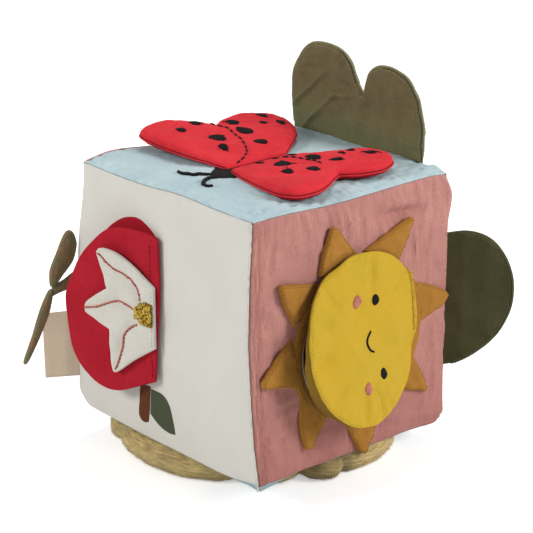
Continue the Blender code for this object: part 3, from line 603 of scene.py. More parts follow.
def running_stitch(line, surface, stitch, gap, lift, start=0.0, wobble=0.0, seed=1):
    """Paths of a row of stitches along a flat line. surface turns flat points into 3D ones."""
    line = np.asarray(line, float)
    lengths = np.concatenate([[0.0], np.cumsum(np.linalg.norm(np.diff(line, axis=0), axis=1))])
    random = np.random.default_rng(seed)
    found, at = [], start
    while at + stitch < lengths[-1]:
        size = stitch * (1.0 + wobble * random.uniform(-1, 1))
        share = np.linspace(0, 1, 5)
        spots = at + size * share
        flat = np.column_stack([np.interp(spots, lengths, line[:, k]) for k in range(2)])
        found.append(surface(flat, lift * np.sin(np.pi * share) ** 0.5))
        at += size + gap
    return found


def stitch_row(pattern, amount, shown=None):
    """The outline moved inwards, as one open line through the spots that are shown."""
    line = inset(pattern.loop, amount)
    return opened(line[shown(line)] if shown else line)

SUNK_ENDS = np.array([0.2, 1, 1, 1, 0.2])

def satin(shape, turn, spacing, surface, lift, ragged=0.25, seed=1):
    """Paths of threads side by side across a flat shape, at an angle, with slightly uneven ends."""
    random = np.random.default_rng(seed)
    shape = np.asarray(shape, float)
    angle = math.radians(turn)
    along = np.array([math.cos(angle), math.sin(angle)])
    across = np.array([-math.sin(angle), math.cos(angle)])
    a, b = shape, np.roll(shape, -1, 0)
    height_a, height_b = a @ across, b @ across
    low, high = height_a.min(), height_a.max()
    found = []
    for level in np.arange(low + spacing / 2, high, spacing):
        hit = (height_a - level) * (height_b - level) < 0
        if hit.sum() < 2:
            continue
        share = ((level - height_a[hit]) / (height_b[hit] - height_a[hit]))[:, None]
        spots = (a[hit] + (b[hit] - a[hit]) * share) @ along
        first, last = spots.min() - random.uniform(0, ragged), spots.max() + random.uniform(0, ragged)
        share = np.linspace(0, 1, 5)
        flat = (first + (last - first) * share)[:, None] * along + level * across
        rise = (0.4 + 0.6 * np.sin(np.pi * share)) * SUNK_ENDS
        found.append(surface(flat, lift * rise))
    return found


def oval(centre, half_wide, half_high, turn=0.0, count=28):
    """Flat ellipse."""
    t = np.linspace(0, 2 * np.pi, count, endpoint=False)
    x, y = half_wide * np.cos(t), half_high * np.sin(t)
    c, s = math.cos(math.radians(turn)), math.sin(math.radians(turn))
    return np.column_stack([centre[0] + x * c - y * s, centre[1] + x * s + y * c])

# %% [markdown]
# ## The cube's soft shape
# The cube is six cloth panels sewn together and stuffed. Each face bulges a
# little, rolls into its seams, and the corners are drawn in unevenly, as they
# are on the real one. One function gives any point on a face, and everything
# that is sewn flat to the cube uses it, so it follows the same bulge.

# %% Faces and their surface
FACE_CROWN = 2.0
SEAM_DEPTH = 0.8
SEAM_ROLL = 3.2
FACES = {
    "apple_side": ((-HALF, 0, MID_Z), (0, -1, 0), (0, 0, 1)),
    "sun_side": ((0, -HALF, MID_Z), (1, 0, 0), (0, 0, 1)),
    "leaf_side": ((HALF, 0, MID_Z), (0, 1, 0), (0, 0, 1)),
    "sprout_side": ((0, HALF, MID_Z), (-1, 0, 0), (0, 0, 1)),
    "top": ((0, 0, TOP), (1, 0, 0), (0, 1, 0)),
    "bottom": ((0, 0, PAD_HEIGHT), (1, 0, 0), (0, -1, 0)),
}
# Soft changes of shape as (middle from the cube's centre, reach along x, y and z, move), in mm.
PULLS = [
    ((-HALF, HALF, -HALF), 5.0, (1.4, -1.4, 2.0)), ((HALF, -HALF, -HALF), 5.0, (-1.4, 1.4, 2.0)),
    ((-75, -75, 75), (35, 25, 20), (0, 0, 2.0)), ((-75, -18, 75), (22, 34, 13), (0, 0, 3.8)),
    ((-75, 28, 75), (22, 20, 13), (0, 0, 1.0)), ((-52, 75, 75), (27, 30, 20), (0, 0, 3.6)),
    ((75, -50, 75), (12, 14, 14), (0, 0, -1.4)), ((75, -67, 75), (10, 7, 12), (0, 0, 2.2)),
    ((-75, 75, -75), (20, 20, 20), (0, 0, 3.0)), ((75, -75, 75), (10, 10, 10), (-1.5, 1.5, -2.9)),
    ((75, 75, 75), (9, 9, 9), (-1, -1, -1)), ((75, 75, -75), (9, 9, 9), (-1, -1, 1)),
    ((75, -75, 60), (9, 9, 12), (2.5, -1.1, 0)), ((-75, -75, -75), (22, 22, 22), (0, 0, -2.3)),
    ((40, -75, -75), (75, 30, 28), (0, 0, -2.4)), ((75, -75, -75), (18, 20, 22), (0.9, -0.8, -3.0)),
]
# Direction in which two upright seams of the apple side wander, and how far at each share of the height.
SIDEWAYS = np.array([0.739, -0.673, 0.0])
NEAR_SWAY = ([-1, -0.65, -0.12, 0.12, 0.39, 0.8, 1], [3.7, 0.3, -1.5, -2.2, -1.9, -0.5, 0])
LEFT_SWAY = ([-1, -0.85, -0.3, 0.3, 0.5, 0.6, 0.7, 0.83, 1],
        [-2.0, -3.2, -2.4, -1.3, -0.3, 0.8, 1.9, 3.2, 4.1])


def seam_sway(centred):
    """How far the near and the left upright seams wander sideways."""
    height = centred[:, 2] / HALF
    near = np.exp(-((centred[:, 0] + HALF) ** 2 + (centred[:, 1] + HALF) ** 2) / 22.0 ** 2)
    left = np.exp(-((centred[:, 0] + HALF) ** 2 + (centred[:, 1] - HALF) ** 2) / 26.0 ** 2)
    return near * np.interp(height, *NEAR_SWAY) + left * np.interp(height, *LEFT_SWAY)


def settle(points):
    """Let the stuffed cube sag, bulge and lean a little."""
    centred = points - [0, 0, MID_Z]
    moved = points.copy()
    for middle, reach, move in PULLS:
        near = np.exp(-(((centred - middle) / reach) ** 2).sum(1))
        moved += near[:, None] * move
    moved += seam_sway(centred)[:, None] * SIDEWAYS
    for axis in range(3):
        other = [k for k in range(3) if k != axis]
        moved[:, axis] += 0.35 * waves(centred[:, other], 70.0, 40 + axis)
    return moved


def face_lift(face, u, v):
    """Height of the stuffed cloth over the flat face."""
    crown = 0.0 if face == "bottom" else FACE_CROWN
    return crown * np.clip(1 - (u / HALF) ** 2, 0, 1) * np.clip(1 - (v / HALF) ** 2, 0, 1)


def on_face(face, uv, out):
    """3D points at flat face positions uv, that far out from the cloth's middle surface."""
    origin, across, upward = (np.array(x, float) for x in FACES[face])
    uv = np.atleast_2d(uv)
    height = face_lift(face, uv[:, 0], uv[:, 1]) + out
    outward = np.cross(across, upward)
    return settle(origin + uv[:, :1] * across + uv[:, 1:2] * upward + height[:, None] * outward)


def sew_on(face, name, pattern, top, under, material, sharp=60.0):
    """Cloth piece sewn flat to a face. top and under are heights over the face."""
    front, rear = (on_face(face, pattern.xy, height) for height in (top, under))
    return sew(name, pattern, front, rear, material, sharp=sharp)


# %% [markdown]
# ## Six panels
# The rose side is crinkled muslin, with long soft creases and a folded edge
# along the near seam. The other cloths are smoother. Each panel is a grid
# that is finer near the seams; Solidify then gives the cloth its thickness.

# %% Panels
CLOTH_THICK = 0.8
NEAR_SEAM_LINES = [0.0, 0.25, 0.6, 1.1, 1.7, 2.5, 3.4, 4.6, 6.2, 8.0]
CORNER_DROP = 4.5
CORNER_REACH = 17.0
NEAR_SEAM_OUT = (-1, -1, 0)


def grid_lines(step):
    """Positions of grid lines from edge to edge, closer near the seams."""
    inner = HALF - NEAR_SEAM_LINES[-1] - step
    middle = np.linspace(-inner, inner, int(2 * inner / step) + 1)
    near = np.array(NEAR_SEAM_LINES)
    return np.concatenate([near - HALF, middle, HALF - near[::-1]])


def seam_puckers(u, v, seed):
    """Gathers along the four seams of a panel."""
    total = np.zeros_like(u)
    for k, (away, along) in enumerate(((HALF - u, v), (HALF + u, v), (HALF - v, u), (HALF + v, u))):
        total += puckers(np.maximum(away, 0), along + 200 * k, seed + k, 7.0, 3.0)
    return total


def ridge(xy, start, end, width):
    """A fold along a line: 1 on it, fading to its sides and its ends."""
    a, b = np.array(start, float), np.array(end, float)
    way = b - a
    share = np.clip((xy - a) @ way / (way @ way), 0, 1)
    gap = np.linalg.norm(xy - a - share[:, None] * way, axis=1)
    return np.exp(-((gap / width) ** 2)) * np.sin(np.pi * np.clip(share, 0.02, 0.98)) ** 0.5


# Folds of the rose side as (from, to, width, height).
ROSE_FOLDS = [
    ((14, 60), (56, 56), 3.0, -3.6), ((18, 66), (54, 63), 3.2, 1.8), ((-66, 47), (-56, 42), 3.4, -1.3),
    ((-66, 32), (-48, 2), 3.6, 1.5), ((-66, -18), (-46, -25), 3.2, -1.5), ((-66, -32), (-46, -60), 5.0, 1.9),
    ((-64, -46), (-58, -71), 3.8, 1.3), ((-38, 69), (-27, 53), 2.6, 1.4), ((56, 26), (66, 52), 3.2, 1.6),
    ((61, -16), (68, -52), 3.2, 1.5), ((20, -60), (50, -65), 3.2, 1.3), ((3, 71), (9, 50), 2.2, 1.5),
    ((13, 71), (17, 53), 2.0, -1.4), ((-9, 71), (-3, 56), 2.2, 1.3), ((60, 66), (66, 40), 2.8, -1.5),
    ((-30, -66), (-8, -71), 2.8, 1.4), ((-22, 71), (-16, 60), 2.2, -1.2), ((28, 71), (30, 62), 2.2, 1.0),
    ((-62, 66), (-52, 58), 2.8, 1.2), ((-64, 12), (-56, -6), 3.0, -1.3), ((-40, -64), (-24, -60), 3.0, -1.2),
]


def muslin_creases(u, v):
    """Folds of the rose muslin: gathers under the top seam, single folds, and a fine crinkle."""
    spot = np.column_stack([u, v])
    flat = np.column_stack([u + 4 * waves(spot, 60, 71), v])
    upright = np.maximum(waves(flat, 8.0, 72, (1.0, 5.0)), 0) ** 1.5
    level = np.maximum(waves(flat, 9.0, 73, (4.0, 1.0)), 0) ** 1.5
    gathers = waves(flat, 6.5, 74, (1.0, 6.0)) * np.exp(-(HALF - v) / 16.0)
    folds = sum(high * ridge(spot, a, b, wide) for a, b, wide, high in ROSE_FOLDS)
    return 0.60 * upright + 0.50 * level + 0.95 * gathers + folds + 0.20 * waves(spot, 4.0, 76, count=30)


def folded_edge(u, v):
    """The rose cloth is doubled along the near seam: two small ridges and a stitched groove."""
    away = HALF + u + 0.25 * waves_along(v, 30.0, 75)
    first = 1.2 * np.exp(-((away - 1.5) / 0.8) ** 2)
    second = 1.7 * np.exp(-((away - 4.3) / 1.0) ** 2)
    return first + second - 1.1 * np.exp(-((away - 6.4) / 0.7) ** 2)


def name_seed(word):
    """A fixed seed for a name."""
    return sum(ord(letter) * (k + 1) for k, letter in enumerate(word)) % 997


def panel_height(face, u, v):
    """Wrinkles of one panel, as height over its even bulge."""
    spot = np.column_stack([u, v])
    calm = rounded(HALF - np.maximum(abs(u), abs(v)), 14.0)
    if face == "sun_side":
        covered = np.clip((np.hypot(u - 2, v + 8) - 46) / 12, 0, 1)
        doubled = 0.12 + 0.88 * np.clip((HALF + u - 6.5) / 5.0, 0, 1)
        loose = muslin_creases(u, v) * calm + 0.22 * seam_puckers(u, v, 11)
        return (0.10 + 0.90 * covered) * doubled * loose + folded_edge(u, v)
    if face == "apple_side":
        ripple = 0.35 * waves(spot, 45.0, 21) + 0.10 * waves(spot, 12.0, 23)
        return ripple * calm + 0.18 * seam_puckers(u, v, 22)
    if face == "top":
        near = np.exp(-(HALF + u) / 14.0) + np.exp(-(HALF + v) / 14.0)
        crumple = (0.15 + 0.95 * near) * waves(spot, 6.5, 33, count=24)
        return (0.40 * waves(spot, 38.0, 31) + crumple) * calm + 0.30 * seam_puckers(u, v, 32)
    seed = name_seed(face)
    return 0.35 * waves(spot, 30.0, seed) * calm + 0.20 * seam_puckers(u, v, seed + 1)


def over_panel(face, flat, out):
    """3D points that far over a panel's wrinkled cloth."""
    flat = np.atleast_2d(flat)
    return on_face(face, flat, panel_height(face, flat[:, 0], flat[:, 1]) + out)


def corner_share(away, high):
    """1 at the lower end of an upright seam, fading along it and to its sides."""
    return np.exp(-((away / CORNER_REACH) ** 2)) * np.clip(high, 0, 1) ** 6


def grid_quads(rows, columns):
    """Four-sided faces of a grid of points that is stored row by row."""
    starts = [j * columns + i for j in range(rows - 1) for i in range(columns - 1)]
    return [(k, k + 1, k + columns + 1, k + columns) for k in starts]


def thicken(piece, millimetres, offset):
    """Give a single layer its cloth thickness."""
    shell = piece.modifiers.new("thickness", "SOLIDIFY")
    shell.thickness = millimetres * MM
    shell.offset = offset


def build_panel(face, material, node, step):
    """Cloth panel of one face."""
    lines = grid_lines(step)
    u, v = (a.ravel() for a in np.meshgrid(lines, lines))
    gap_u, gap_v = HALF - abs(u), HALF - abs(v)
    roll_u, roll_v = 1 - rounded(gap_u, SEAM_ROLL), 1 - rounded(gap_v, SEAM_ROLL)
    out = panel_height(face, u, v) * np.minimum(rounded(gap_u, 1.2), rounded(gap_v, 1.2))
    out = out - SEAM_DEPTH * np.maximum(roll_u, roll_v)
    drawn_u = u - np.sign(u) * SEAM_DEPTH * roll_u
    drawn_v = v - np.sign(v) * SEAM_DEPTH * roll_v
    if face in ("apple_side", "sun_side"):
        near_seam = HALF if face == "sun_side" else -HALF
        drawn_v = drawn_v + CORNER_DROP * corner_share(u + near_seam, -v / HALF)
    if face == "bottom":
        corner = corner_share(u + HALF, v / HALF) + corner_share(v - HALF, -u / HALF)
        out = out - CORNER_DROP * np.clip(corner, 0, 1) * (1 - rounded(np.minimum(gap_u, gap_v), 5.0))
    points = on_face(face, np.column_stack([drawn_u, drawn_v]), out)
    quads = grid_quads(len(lines), len(lines))
    piece = add_mesh("panel_" + face + "_cloth", points, quads, np.column_stack([u, v]), material)
    thicken(piece, CLOTH_THICK, -1.0)
    return mount(piece, "block", node)


PANELS = [
    ("apple_side", CREAM, 2.2), ("sun_side", ROSE, 1.5), ("top", SKY, 1.8),
    ("leaf_side", SKY, 2.6), ("sprout_side", ROSE, 2.6), ("bottom", BOTTOM_PAINTED_SHADE_BLUE, 3.2),
]
for face, material, step in PANELS:
    panel = build_panel(face, material, "panel_" + face, step)
    print(panel.name, len(panel.data.polygons), "faces")
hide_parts("fill_block")

# The cream cloth's turned edge shows along the near seam, with a few ends of thread at its corners.
edge_high = np.arange(-HALF + 2.5, HALF - 1.0, 0.8)
edge_line = np.column_stack([HALF - 0.9 + 0.25 * waves_along(edge_high, 7.0, 61), edge_high])
edge_path = on_face("apple_side", edge_line, 0.35 + 0.25 * waves_along(edge_high, 4.0, 62))
threads("block", "near_seam_edge", [edge_path], 0.6, CREAM, taper=0.8, out=NEAR_SEAM_OUT)
back_line = np.column_stack([np.arange(-73.0, -20.0, 1.0), np.full(53, HALF - 0.6)])
threads("block", "back_seam_edge", [on_face("top", back_line, -0.2)], 0.5, ROSE, taper=0.8)
random, ends = np.random.default_rng(63), []
for middle in ((HALF - 0.5, HALF - 3.0), (HALF - 0.8, -HALF + 5.0)):
    for _ in range(7):
        start = np.array(middle) + random.uniform(-1, 1, 2) * [0.8, 3.0]
        flat = start + np.linspace(0, 1, 5)[:, None] * random.uniform(-1, 1, 2) * [1.2, 2.6]
        arch = np.sin(np.linspace(0, np.pi, 5))
        ends.append(on_face("apple_side", flat, 0.5 + random.uniform(0, 0.8) * arch))
threads("block", "near_seam_thread_ends", ends, 0.2, CREAM_THREAD, out=NEAR_SEAM_OUT)

# %% [markdown]
# ## The plush pad
# The pad is a flat cushion of sandy plush with a wavy, cloud-like edge. Its
# upper and lower halves are ellipses merged together: each spot takes the
# highest ellipse, so creases form by themselves where two lobes meet. Thin
# fibres stand on the sides that show, because plush has no sharp outline.

# %% Pad
PAD_LOBES = np.array([
    (-46.5, 11.5, 34, 52), (-52, 48, 20, 18.5), (-32.5, -34.5, 17.5, 27), (-11.5, -58, 13, 17.5),
    (14.5, -49, 38, 26.5), (46.5, -7, 27, 32.5), (42, 46, 28, 26), (-6, 56, 34, 22),
], float)
PAD_SEAM = 8.0


def pad_edge(turns):
    """Outer edge of the merged lobes along rays from the middle."""
    ray = np.column_stack([np.cos(turns), np.sin(turns)])
    reach = np.zeros(len(turns))
    for x, y, wide, deep in PAD_LOBES:
        a = (ray[:, 0] / wide) ** 2 + (ray[:, 1] / deep) ** 2
        b = -2 * (ray[:, 0] * x / wide ** 2 + ray[:, 1] * y / deep ** 2)
        c = (x / wide) ** 2 + (y / deep) ** 2 - 1
        root = b * b - 4 * a * c
        reach = np.maximum(reach, np.where(root > 0, (-b + np.sqrt(np.maximum(root, 0))) / (2 * a), 0))
    return ray * reach[:, None]


def pad_swell(xy, away):
    """0 to 1: how far the stuffing lifts the plush. Lobes part in creases near the edge."""
    x, y, wide, deep = PAD_LOBES.T[:, None]
    depth = (1 - np.hypot((xy[:, :1] - x) / wide, (xy[:, 1:] - y) / deep)) * np.minimum(wide, deep)
    second, first = np.sort(depth, axis=1)[:, -2:].T
    crease = np.exp(-((first - second) / 1.8) ** 2) * np.clip(1.3 - first / 14.0, 0, 1)
    swell = rounded(np.maximum(first, 0), 8.0) * (1 - 0.45 * crease)
    return np.minimum(swell, rounded(away, 7.0)) * 0.999


pad = cut(pad_edge(np.linspace(0, 2 * np.pi, 320, endpoint=False)), (0.4, 1.1, 2.1, 3.3, 4.8), 2.2)
swell = pad_swell(pad.xy, pad.away)
ruffle = (0.35 * waves(pad.xy, 16.0, 80) + 0.18 * waves(pad.xy, 4.5, 81, (1.0, 2.5))) * rounded(pad.away, 5.0)
upper = np.minimum(PAD_SEAM + 8.4 * swell + ruffle * 0.8, PAD_HEIGHT - 0.35)
lower = np.maximum(PAD_SEAM - 8.6 * swell + ruffle, 0.0)
plush_pad = sew("plush_pad", pad, flat_points(pad, upper), flat_points(pad, lower - 0.02), PLUSH, sharp=120.0)
mount(plush_pad, "block", "pad_upper_plush", "pad_lower_plush", "pad_batting", slot="plush")


def pad_fibres(count=46000, length=0.6, seed=5):
    """Thin triangles that stand out of the pad's sides, leaning in tufts."""
    random = np.random.default_rng(seed)
    ring = (pad.away < 11) & (pad.away > 0.0)
    spots = np.flatnonzero(ring)
    mesh = plush_pad.data
    normals = np.zeros(len(mesh.vertices) * 3)
    mesh.vertex_normals.foreach_get("vector", normals)
    normals = normals.reshape(-1, 3)
    verts = np.array([v.co for v in mesh.vertices]) / MM
    both = np.concatenate([spots, spots + len(pad.xy)])
    chosen = both[random.integers(0, len(both), count)]
    base = verts[chosen] + random.normal(0, 1.0, (count, 3)) * (1 - abs(normals[chosen]) * 0.9)
    lean = np.column_stack([waves(base, 9.0, 91), waves(base, 9.0, 92), waves(base[:, 1:], 7.0, 93)]) * 0.8
    way = 0.6 * normals[chosen] + lean + random.normal(0, 0.3, (count, 3))
    way /= np.linalg.norm(way, axis=1)[:, None]
    side = np.cross(way, random.normal(0, 1, (count, 3)))
    side /= np.linalg.norm(side, axis=1)[:, None]
    size = length * random.uniform(0.5, 1.1, count)[:, None]
    tips = base + way * size
    tips[:, 2] = np.maximum(tips[:, 2], 0.2)
    base[:, 2] = np.maximum(base[:, 2], 0.15)
    under_cube = np.maximum(abs(tips[:, 0]), abs(tips[:, 1])) < HALF + 1
    tips[:, 2] = np.minimum(tips[:, 2], np.where(under_cube, PAD_HEIGHT - 0.4, PAD_HEIGHT + 1))
    width = 0.13
    points = np.stack([base - side * width, base + side * width, tips], 1).reshape(-1, 3)
    faces = [(3 * k, 3 * k + 1, 3 * k + 2) for k in range(count)]
    return add_mesh("plush_pad_fibres", points, faces, points[:, :2], PLUSH, sharp=180.0)


fibres = pad_fibres()
mount(fibres, "block")
print("pad", len(pad.xy), "points,", len(fibres.data.polygons), "fibres")

# %% [markdown]
# ## Butterfly wings
# Each wing is two red cloths with thick batting: flat on top, steep at the
# sides, with the seam low down. The black spots are satin embroidery, and a
# row of running stitches crosses each wing. The seam's turned edge shows as a
# fine bead, which a thin tube along the outline gives.

# %% Wings
LEFT_WING_RUNS = [
    [(20, 0), (31.5, 8.5), (42.5, 16.5), (51, 24.5), (55.6, 35), (55.6, 44.5), (51, 53), (41, 58.6),
     (31, 59.8), (20, 57.5), (11.5, 53)],
    [(11.5, 53), (5, 63.2), (-4, 70.4), (-16.5, 73.4), (-28, 71), (-34, 65), (-34, 50), (-31.8, 37),
     (-29.2, 25), (-26.5, 13), (-24.5, 0)],
    [(-24.5, 0), (20, 0)],
]
RIGHT_WING_RUNS = [
    [(19, 0), (30, 8.8), (41.5, 16.8), (51.5, 23), (56.3, 32), (56, 41), (50, 52), (38, 59), (27, 60),
     (18, 56.5), (9.7, 49.5)],
    [(9.7, 49.5), (0.7, 54.5), (-11, 61.8), (-23, 66), (-33.5, 64.7), (-38.3, 58), (-38.3, 50),
     (-34.7, 33), (-30, 14), (-25.5, 0)],
    [(-25.5, 0), (19, 0)],
]
WING_ROOT_GAP = 2.0
WING_AXIS_Z = TOP + 3.15


def place_at(origin, across, upward, axis=None, degrees=0.0):
    """Placement with X along across and Y along upward, then turned about its own axis."""
    x_axis, y_axis = Vector(across).normalized(), Vector(upward).normalized()
    turned = Matrix((x_axis, y_axis, x_axis.cross(y_axis))).transposed().to_4x4()
    turned.translation = Vector(origin)
    return turned @ Matrix.Rotation(math.radians(degrees), 4, axis) if axis else turned


def wing_beads(side, wing, place, seed):
    """The turned edge and its seam line, as thin beads along the outline but for the root."""
    low = -1.5 * np.clip(wing.loop[:, 1] / 30.0, 0, 1)
    free = wing.loop[:, 1] > 1.5
    rows = [("_wing_seam", -0.35, 0.6, WING_RED), ("_wing_seam_line", 0.35, 0.32, SEAM_THREAD)]
    for part, high, radius, material in rows:
        bead = np.column_stack([wing.loop, low + high + 0.1 * waves(wing.loop, 9.0, seed + 3)])
        threads(side + "_wing", side + part, [opened(bead[free])], radius, material, place, 0.9)


def spot_fills(spots, over, seed):
    """Satin thread for every spot, with two loose threads across each."""
    fills, random = [], np.random.default_rng(seed)
    loose_rise = 0.5 * np.array([0.6, 1, 1.4, 1.2, 0.5])
    for k, (x, y, wide, deep) in enumerate(spots):
        shape = oval((x, y), wide / 2, deep / 2, 12 * ((k % 3) - 1))
        fills += satin(shape, 90 + 10 * ((k % 4) - 1.5), 0.62, over, 0.5, 0.9, seed + k)
        for _ in range(2):
            start = np.array([x, y]) + random.uniform(-0.35, 0.35, 2) * [wide, deep]
            end = start + random.uniform(-1, 1, 2) * [0.5 * wide, 0.6 * deep]
            fills.append(over(span(start, end), loose_rise))
    return fills

def build_wing(side, sign, lift, pattern_runs, line, spots, seed):
    """Wing with its running stitch and spots. sign is 1 for the wing towards +Y."""
    runs = [[(x * sign, y) for x, y in run] for run in pattern_runs]
    wing = cut(outline(runs, 1.6), (0.35, 0.9, 1.8, 3.0, 4.6, 6.5), 2.5)
    place = place_at((0, sign * WING_ROOT_GAP, WING_AXIS_Z), (sign, 0, 0), (0, sign, 0), "X", lift)

    def top(xy, along=None, away=None):
        if away is None:
            away, along = to_edge(xy, wing.loop)
        ease = 0.35 + 0.65 * np.clip(xy[:, 1] / 18.0, 0, 1)
        quilt = 0.45 * waves(xy, 20.0, seed) * rounded(away, 12.0)
        quilt = quilt + 0.14 * puckers(away, along, seed + 1, 6.0, 2.6)
        return (1.1 + 2.5 * rounded(away, 13.0) * ease + quilt) * rounded(away, 1.8)

    def belly(xy, along, away):
        run = np.clip(xy[:, 1] / 50.0, 0, 1)
        fold = 0.2 * puckers(away, along, seed + 2, 6.0, 2.5) * run
        drop = (0.85 + 3.2 * rounded(away, 2.6) * run - fold) * rounded(away, 1.2)
        return -0.02 - np.maximum(drop, 0.12 + 1.5 * np.clip(xy[:, 1] / 30.0, 0, 1))

    def over(flat, out):
        return np.column_stack([flat, top(flat) + out])

    body = side + "_wing"
    level = -0.1 - 1.5 * np.clip(wing.xy[:, 1] / 30.0, 0, 1)
    above = flat_points(wing, top(wing.xy, wing.along, wing.away))
    below = flat_points(wing, belly(wing.xy, wing.along, wing.away) - 0.15)
    upper = sew(body, wing, above, flat_points(wing, level), WING_RED, place, 45.0)
    lower = sew(body + "_underside", wing, flat_points(wing, level - 0.02), below, WING_SHADE, place, 45.0)
    upper_nodes, lower_nodes = (body + "_upper_cloth", body + "_batting"), (body + "_lower_cloth",)
    for piece, nodes in ((upper, upper_nodes), (lower, lower_nodes)):
        mount(piece, body, *nodes, slot="red_cloth")
    wing_beads(side, wing, place, seed)
    row = [(x * sign, y) for x, y in smooth_run(line, 1.0)]
    dashes = running_stitch(row, over, 4.3, 1.0, 0.4, wobble=0.2, seed=seed)
    threads(body, side + "_wing_stitches", dashes, 0.5, BLACK_THREAD, place)
    fills = spot_fills([(x * sign, y, wide, deep) for x, y, wide, deep in spots], over, seed)
    threads(body, side + "_wing_spots", fills, 0.27, BLACK_THREAD, place, 0.6)


# Lines and spots are flat positions: across the wing, and out from its root. Spots add width and depth.
LEFT_LINE = [(8.5, 54), (8.9, 50.4), (10, 39.2), (5.4, 21.3), (-3.0, 8.2), (-13.3, 2.2), (-18.5, 0.6)]
RIGHT_LINE = [(1.8, 4.0), (6.6, 9.9), (8.5, 20.1), (9.3, 30.0), (6.2, 42.6)]
LEFT_SPOTS = [
    (-14.9, 52.5, 5.6, 6), (-0.8, 57.0, 6.4, 7), (-4.5, 32.4, 9, 10), (-11.6, 18.8, 5, 5.6),
    (20.6, 47.7, 7, 8),
    (17.2, 33.0, 9.4, 10), (13.7, 15.4, 7.4, 7.5), (43.3, 47.4, 6, 7), (36.1, 37.7, 4.2, 4.5),
    (45.7, 32.8, 5, 5.5),
]
RIGHT_SPOTS = [
    (-9.3, 6.0, 4.4, 5), (-4.7, 19.9, 9, 9.5), (-15.6, 36.0, 5.4, 5.8), (-2.7, 42.6, 6.6, 8),
    (15.8, 23.0, 8, 9),
    (20.1, 37.3, 6.4, 8), (42.0, 26.6, 3.6, 5), (31.9, 29.5, 3.0, 4), (43.4, 40.5, 5.2, 7),
    (14.0, 7.4, 4.4, 6),
]
build_wing("left", 1, 7.2, LEFT_WING_RUNS, LEFT_LINE, LEFT_SPOTS, 100)
build_wing("right", -1, 3.2, RIGHT_WING_RUNS, RIGHT_LINE, RIGHT_SPOTS, 140)

# %% [markdown]
# ## Butterfly's head
# The head and the two feelers are dense black embroidery on the blue top. The
# head is filled with satin thread, and each feeler is a thick cord of thread
# with a bulb at its end.

# %% Head and feelers
def over_top(flat, out):
    return over_panel("top", flat, np.asarray(out) + 0.15)

HEAD = [(-20.5, 6.8), (-26.4, 10.4), (-36.0, 2.7), (-39.0, -2.8), (-29.9, -10.6), (-19.5, -7)]
FEELERS = [
    [(-34.6, 2.8), (-38.5, 4.6), (-42.8, 6.8), (-45.4, 10.9), (-46.9, 14.2), (-46.2, 17.9), (-44.6, 19.8)],
    [(-38.0, -2.8), (-43.4, -2.6), (-49.1, -6.8), (-51.4, -12.0), (-48.4, -15.0)],
]
head_fill = satin(HEAD, 70, 0.42, over_top, 0.7, 0.6, 7)
threads("block", "butterfly_head", head_fill, 0.3, BLACK_THREAD, taper=0.6)
cords = []
for line in FEELERS:
    flat = smooth_run(line, 0.9)
    for turn in range(2):
        swing = 0.45 * np.sin(np.arange(len(flat)) * 1.1 + np.pi * turn)
        cords.append(over_top(flat + np.column_stack([swing * 0, swing]), np.full(len(flat), 0.35)))
feelers = threads("block", "butterfly_feelers", cords, 1.05, BLACK_THREAD, taper=0.7)
print("feelers:", len(feelers.data.polygons), "faces")

# %% [markdown]
# ## Apple and flower
# A dark red patch is sewn flat to the cream side; its darker red is painted
# shade from the flap over it. Over it hangs the apple
# flap, hinged along its straight edge, and on that the white flower, hinged
# along the same line. A flap is two cloths turned right side out: the edge is
# soft and round, about a millimetre and a half thick, and the middle is flat.

# %% Flap helper
FLAP_THICK = 1.7


def flap_faces(pattern, middle, puff=0.25, stitched=None):
    """Front and back height of a turned flap whose middle surface is given."""
    half = FLAP_THICK / 2 * rounded(pattern.away, 0.9)
    pillow = puff * rounded(pattern.away, 7.0) + 0.22 * puckers(pattern.away, pattern.along, 205, 8.0, 2.6)
    groove = 0.22 * np.exp(-((pattern.away - stitched) / 0.45) ** 2) if stitched else 0.0
    return middle + half + pillow - groove, middle - half - pillow * 0.3 + groove * 0.5


# %% Apple patch, stem and leaf print
APPLE_RUNS = [
    [(2.6, 40.9), (0.8, 67), (-1.5, 97), (-0.8, 125.5)],
    [(-0.8, 125.5), (5, 127.5), (18, 128), (28, 127.2), (38, 123.3), (50.5, 111.8), (59.5, 98.2), (66, 86),
     (67.4, 72.8), (66.5, 60.7), (63.5, 47.2), (57.5, 38.1), (45.5, 30.5), (31, 29), (12, 36.8), (2.6, 40.9)],
]
PATCH_RUNS = [
    [(3.5, 42), (0, 122)],
    [(0, 122), (4, 126.2), (11, 130), (18, 131.7), (25, 130.8), (32, 128.5), (39, 124.6), (46, 119.5),
     (53, 112.5), (60, 102), (65.5, 88), (67.5, 74), (66, 58), (61, 44), (53, 33.5), (44, 29.5), (30, 28.5),
     (12, 36.5), (3.5, 42)],
]
APPLE_HINGE_Y = -2.5
APPLE_SCALE = 66.0 / 67.4


def turned_over(runs, wider=1.0):
    """Runs with x turned over, as the free edge of a flap lies towards -X of its hinge."""
    return [[(-x * wider, y) for x, y in run] for run in runs]


patch_loop = outline(turned_over(PATCH_RUNS, APPLE_SCALE), 1.8) - [0, HALF]
patch = cut(patch_loop, (0.4, 1.0), 3.0)
patch_rise = 0.75 * rounded(patch.away, 0.8) + 0.12 * waves(patch.xy, 16.0, 201)
apple_patch = sew_on("apple_side", "apple_patch_cloth", patch, 0.35 + patch_rise, 0.2, PATCH_SHADE_RED)
mount(apple_patch, "block", "apple_patch", slot="apple_red_cloth")

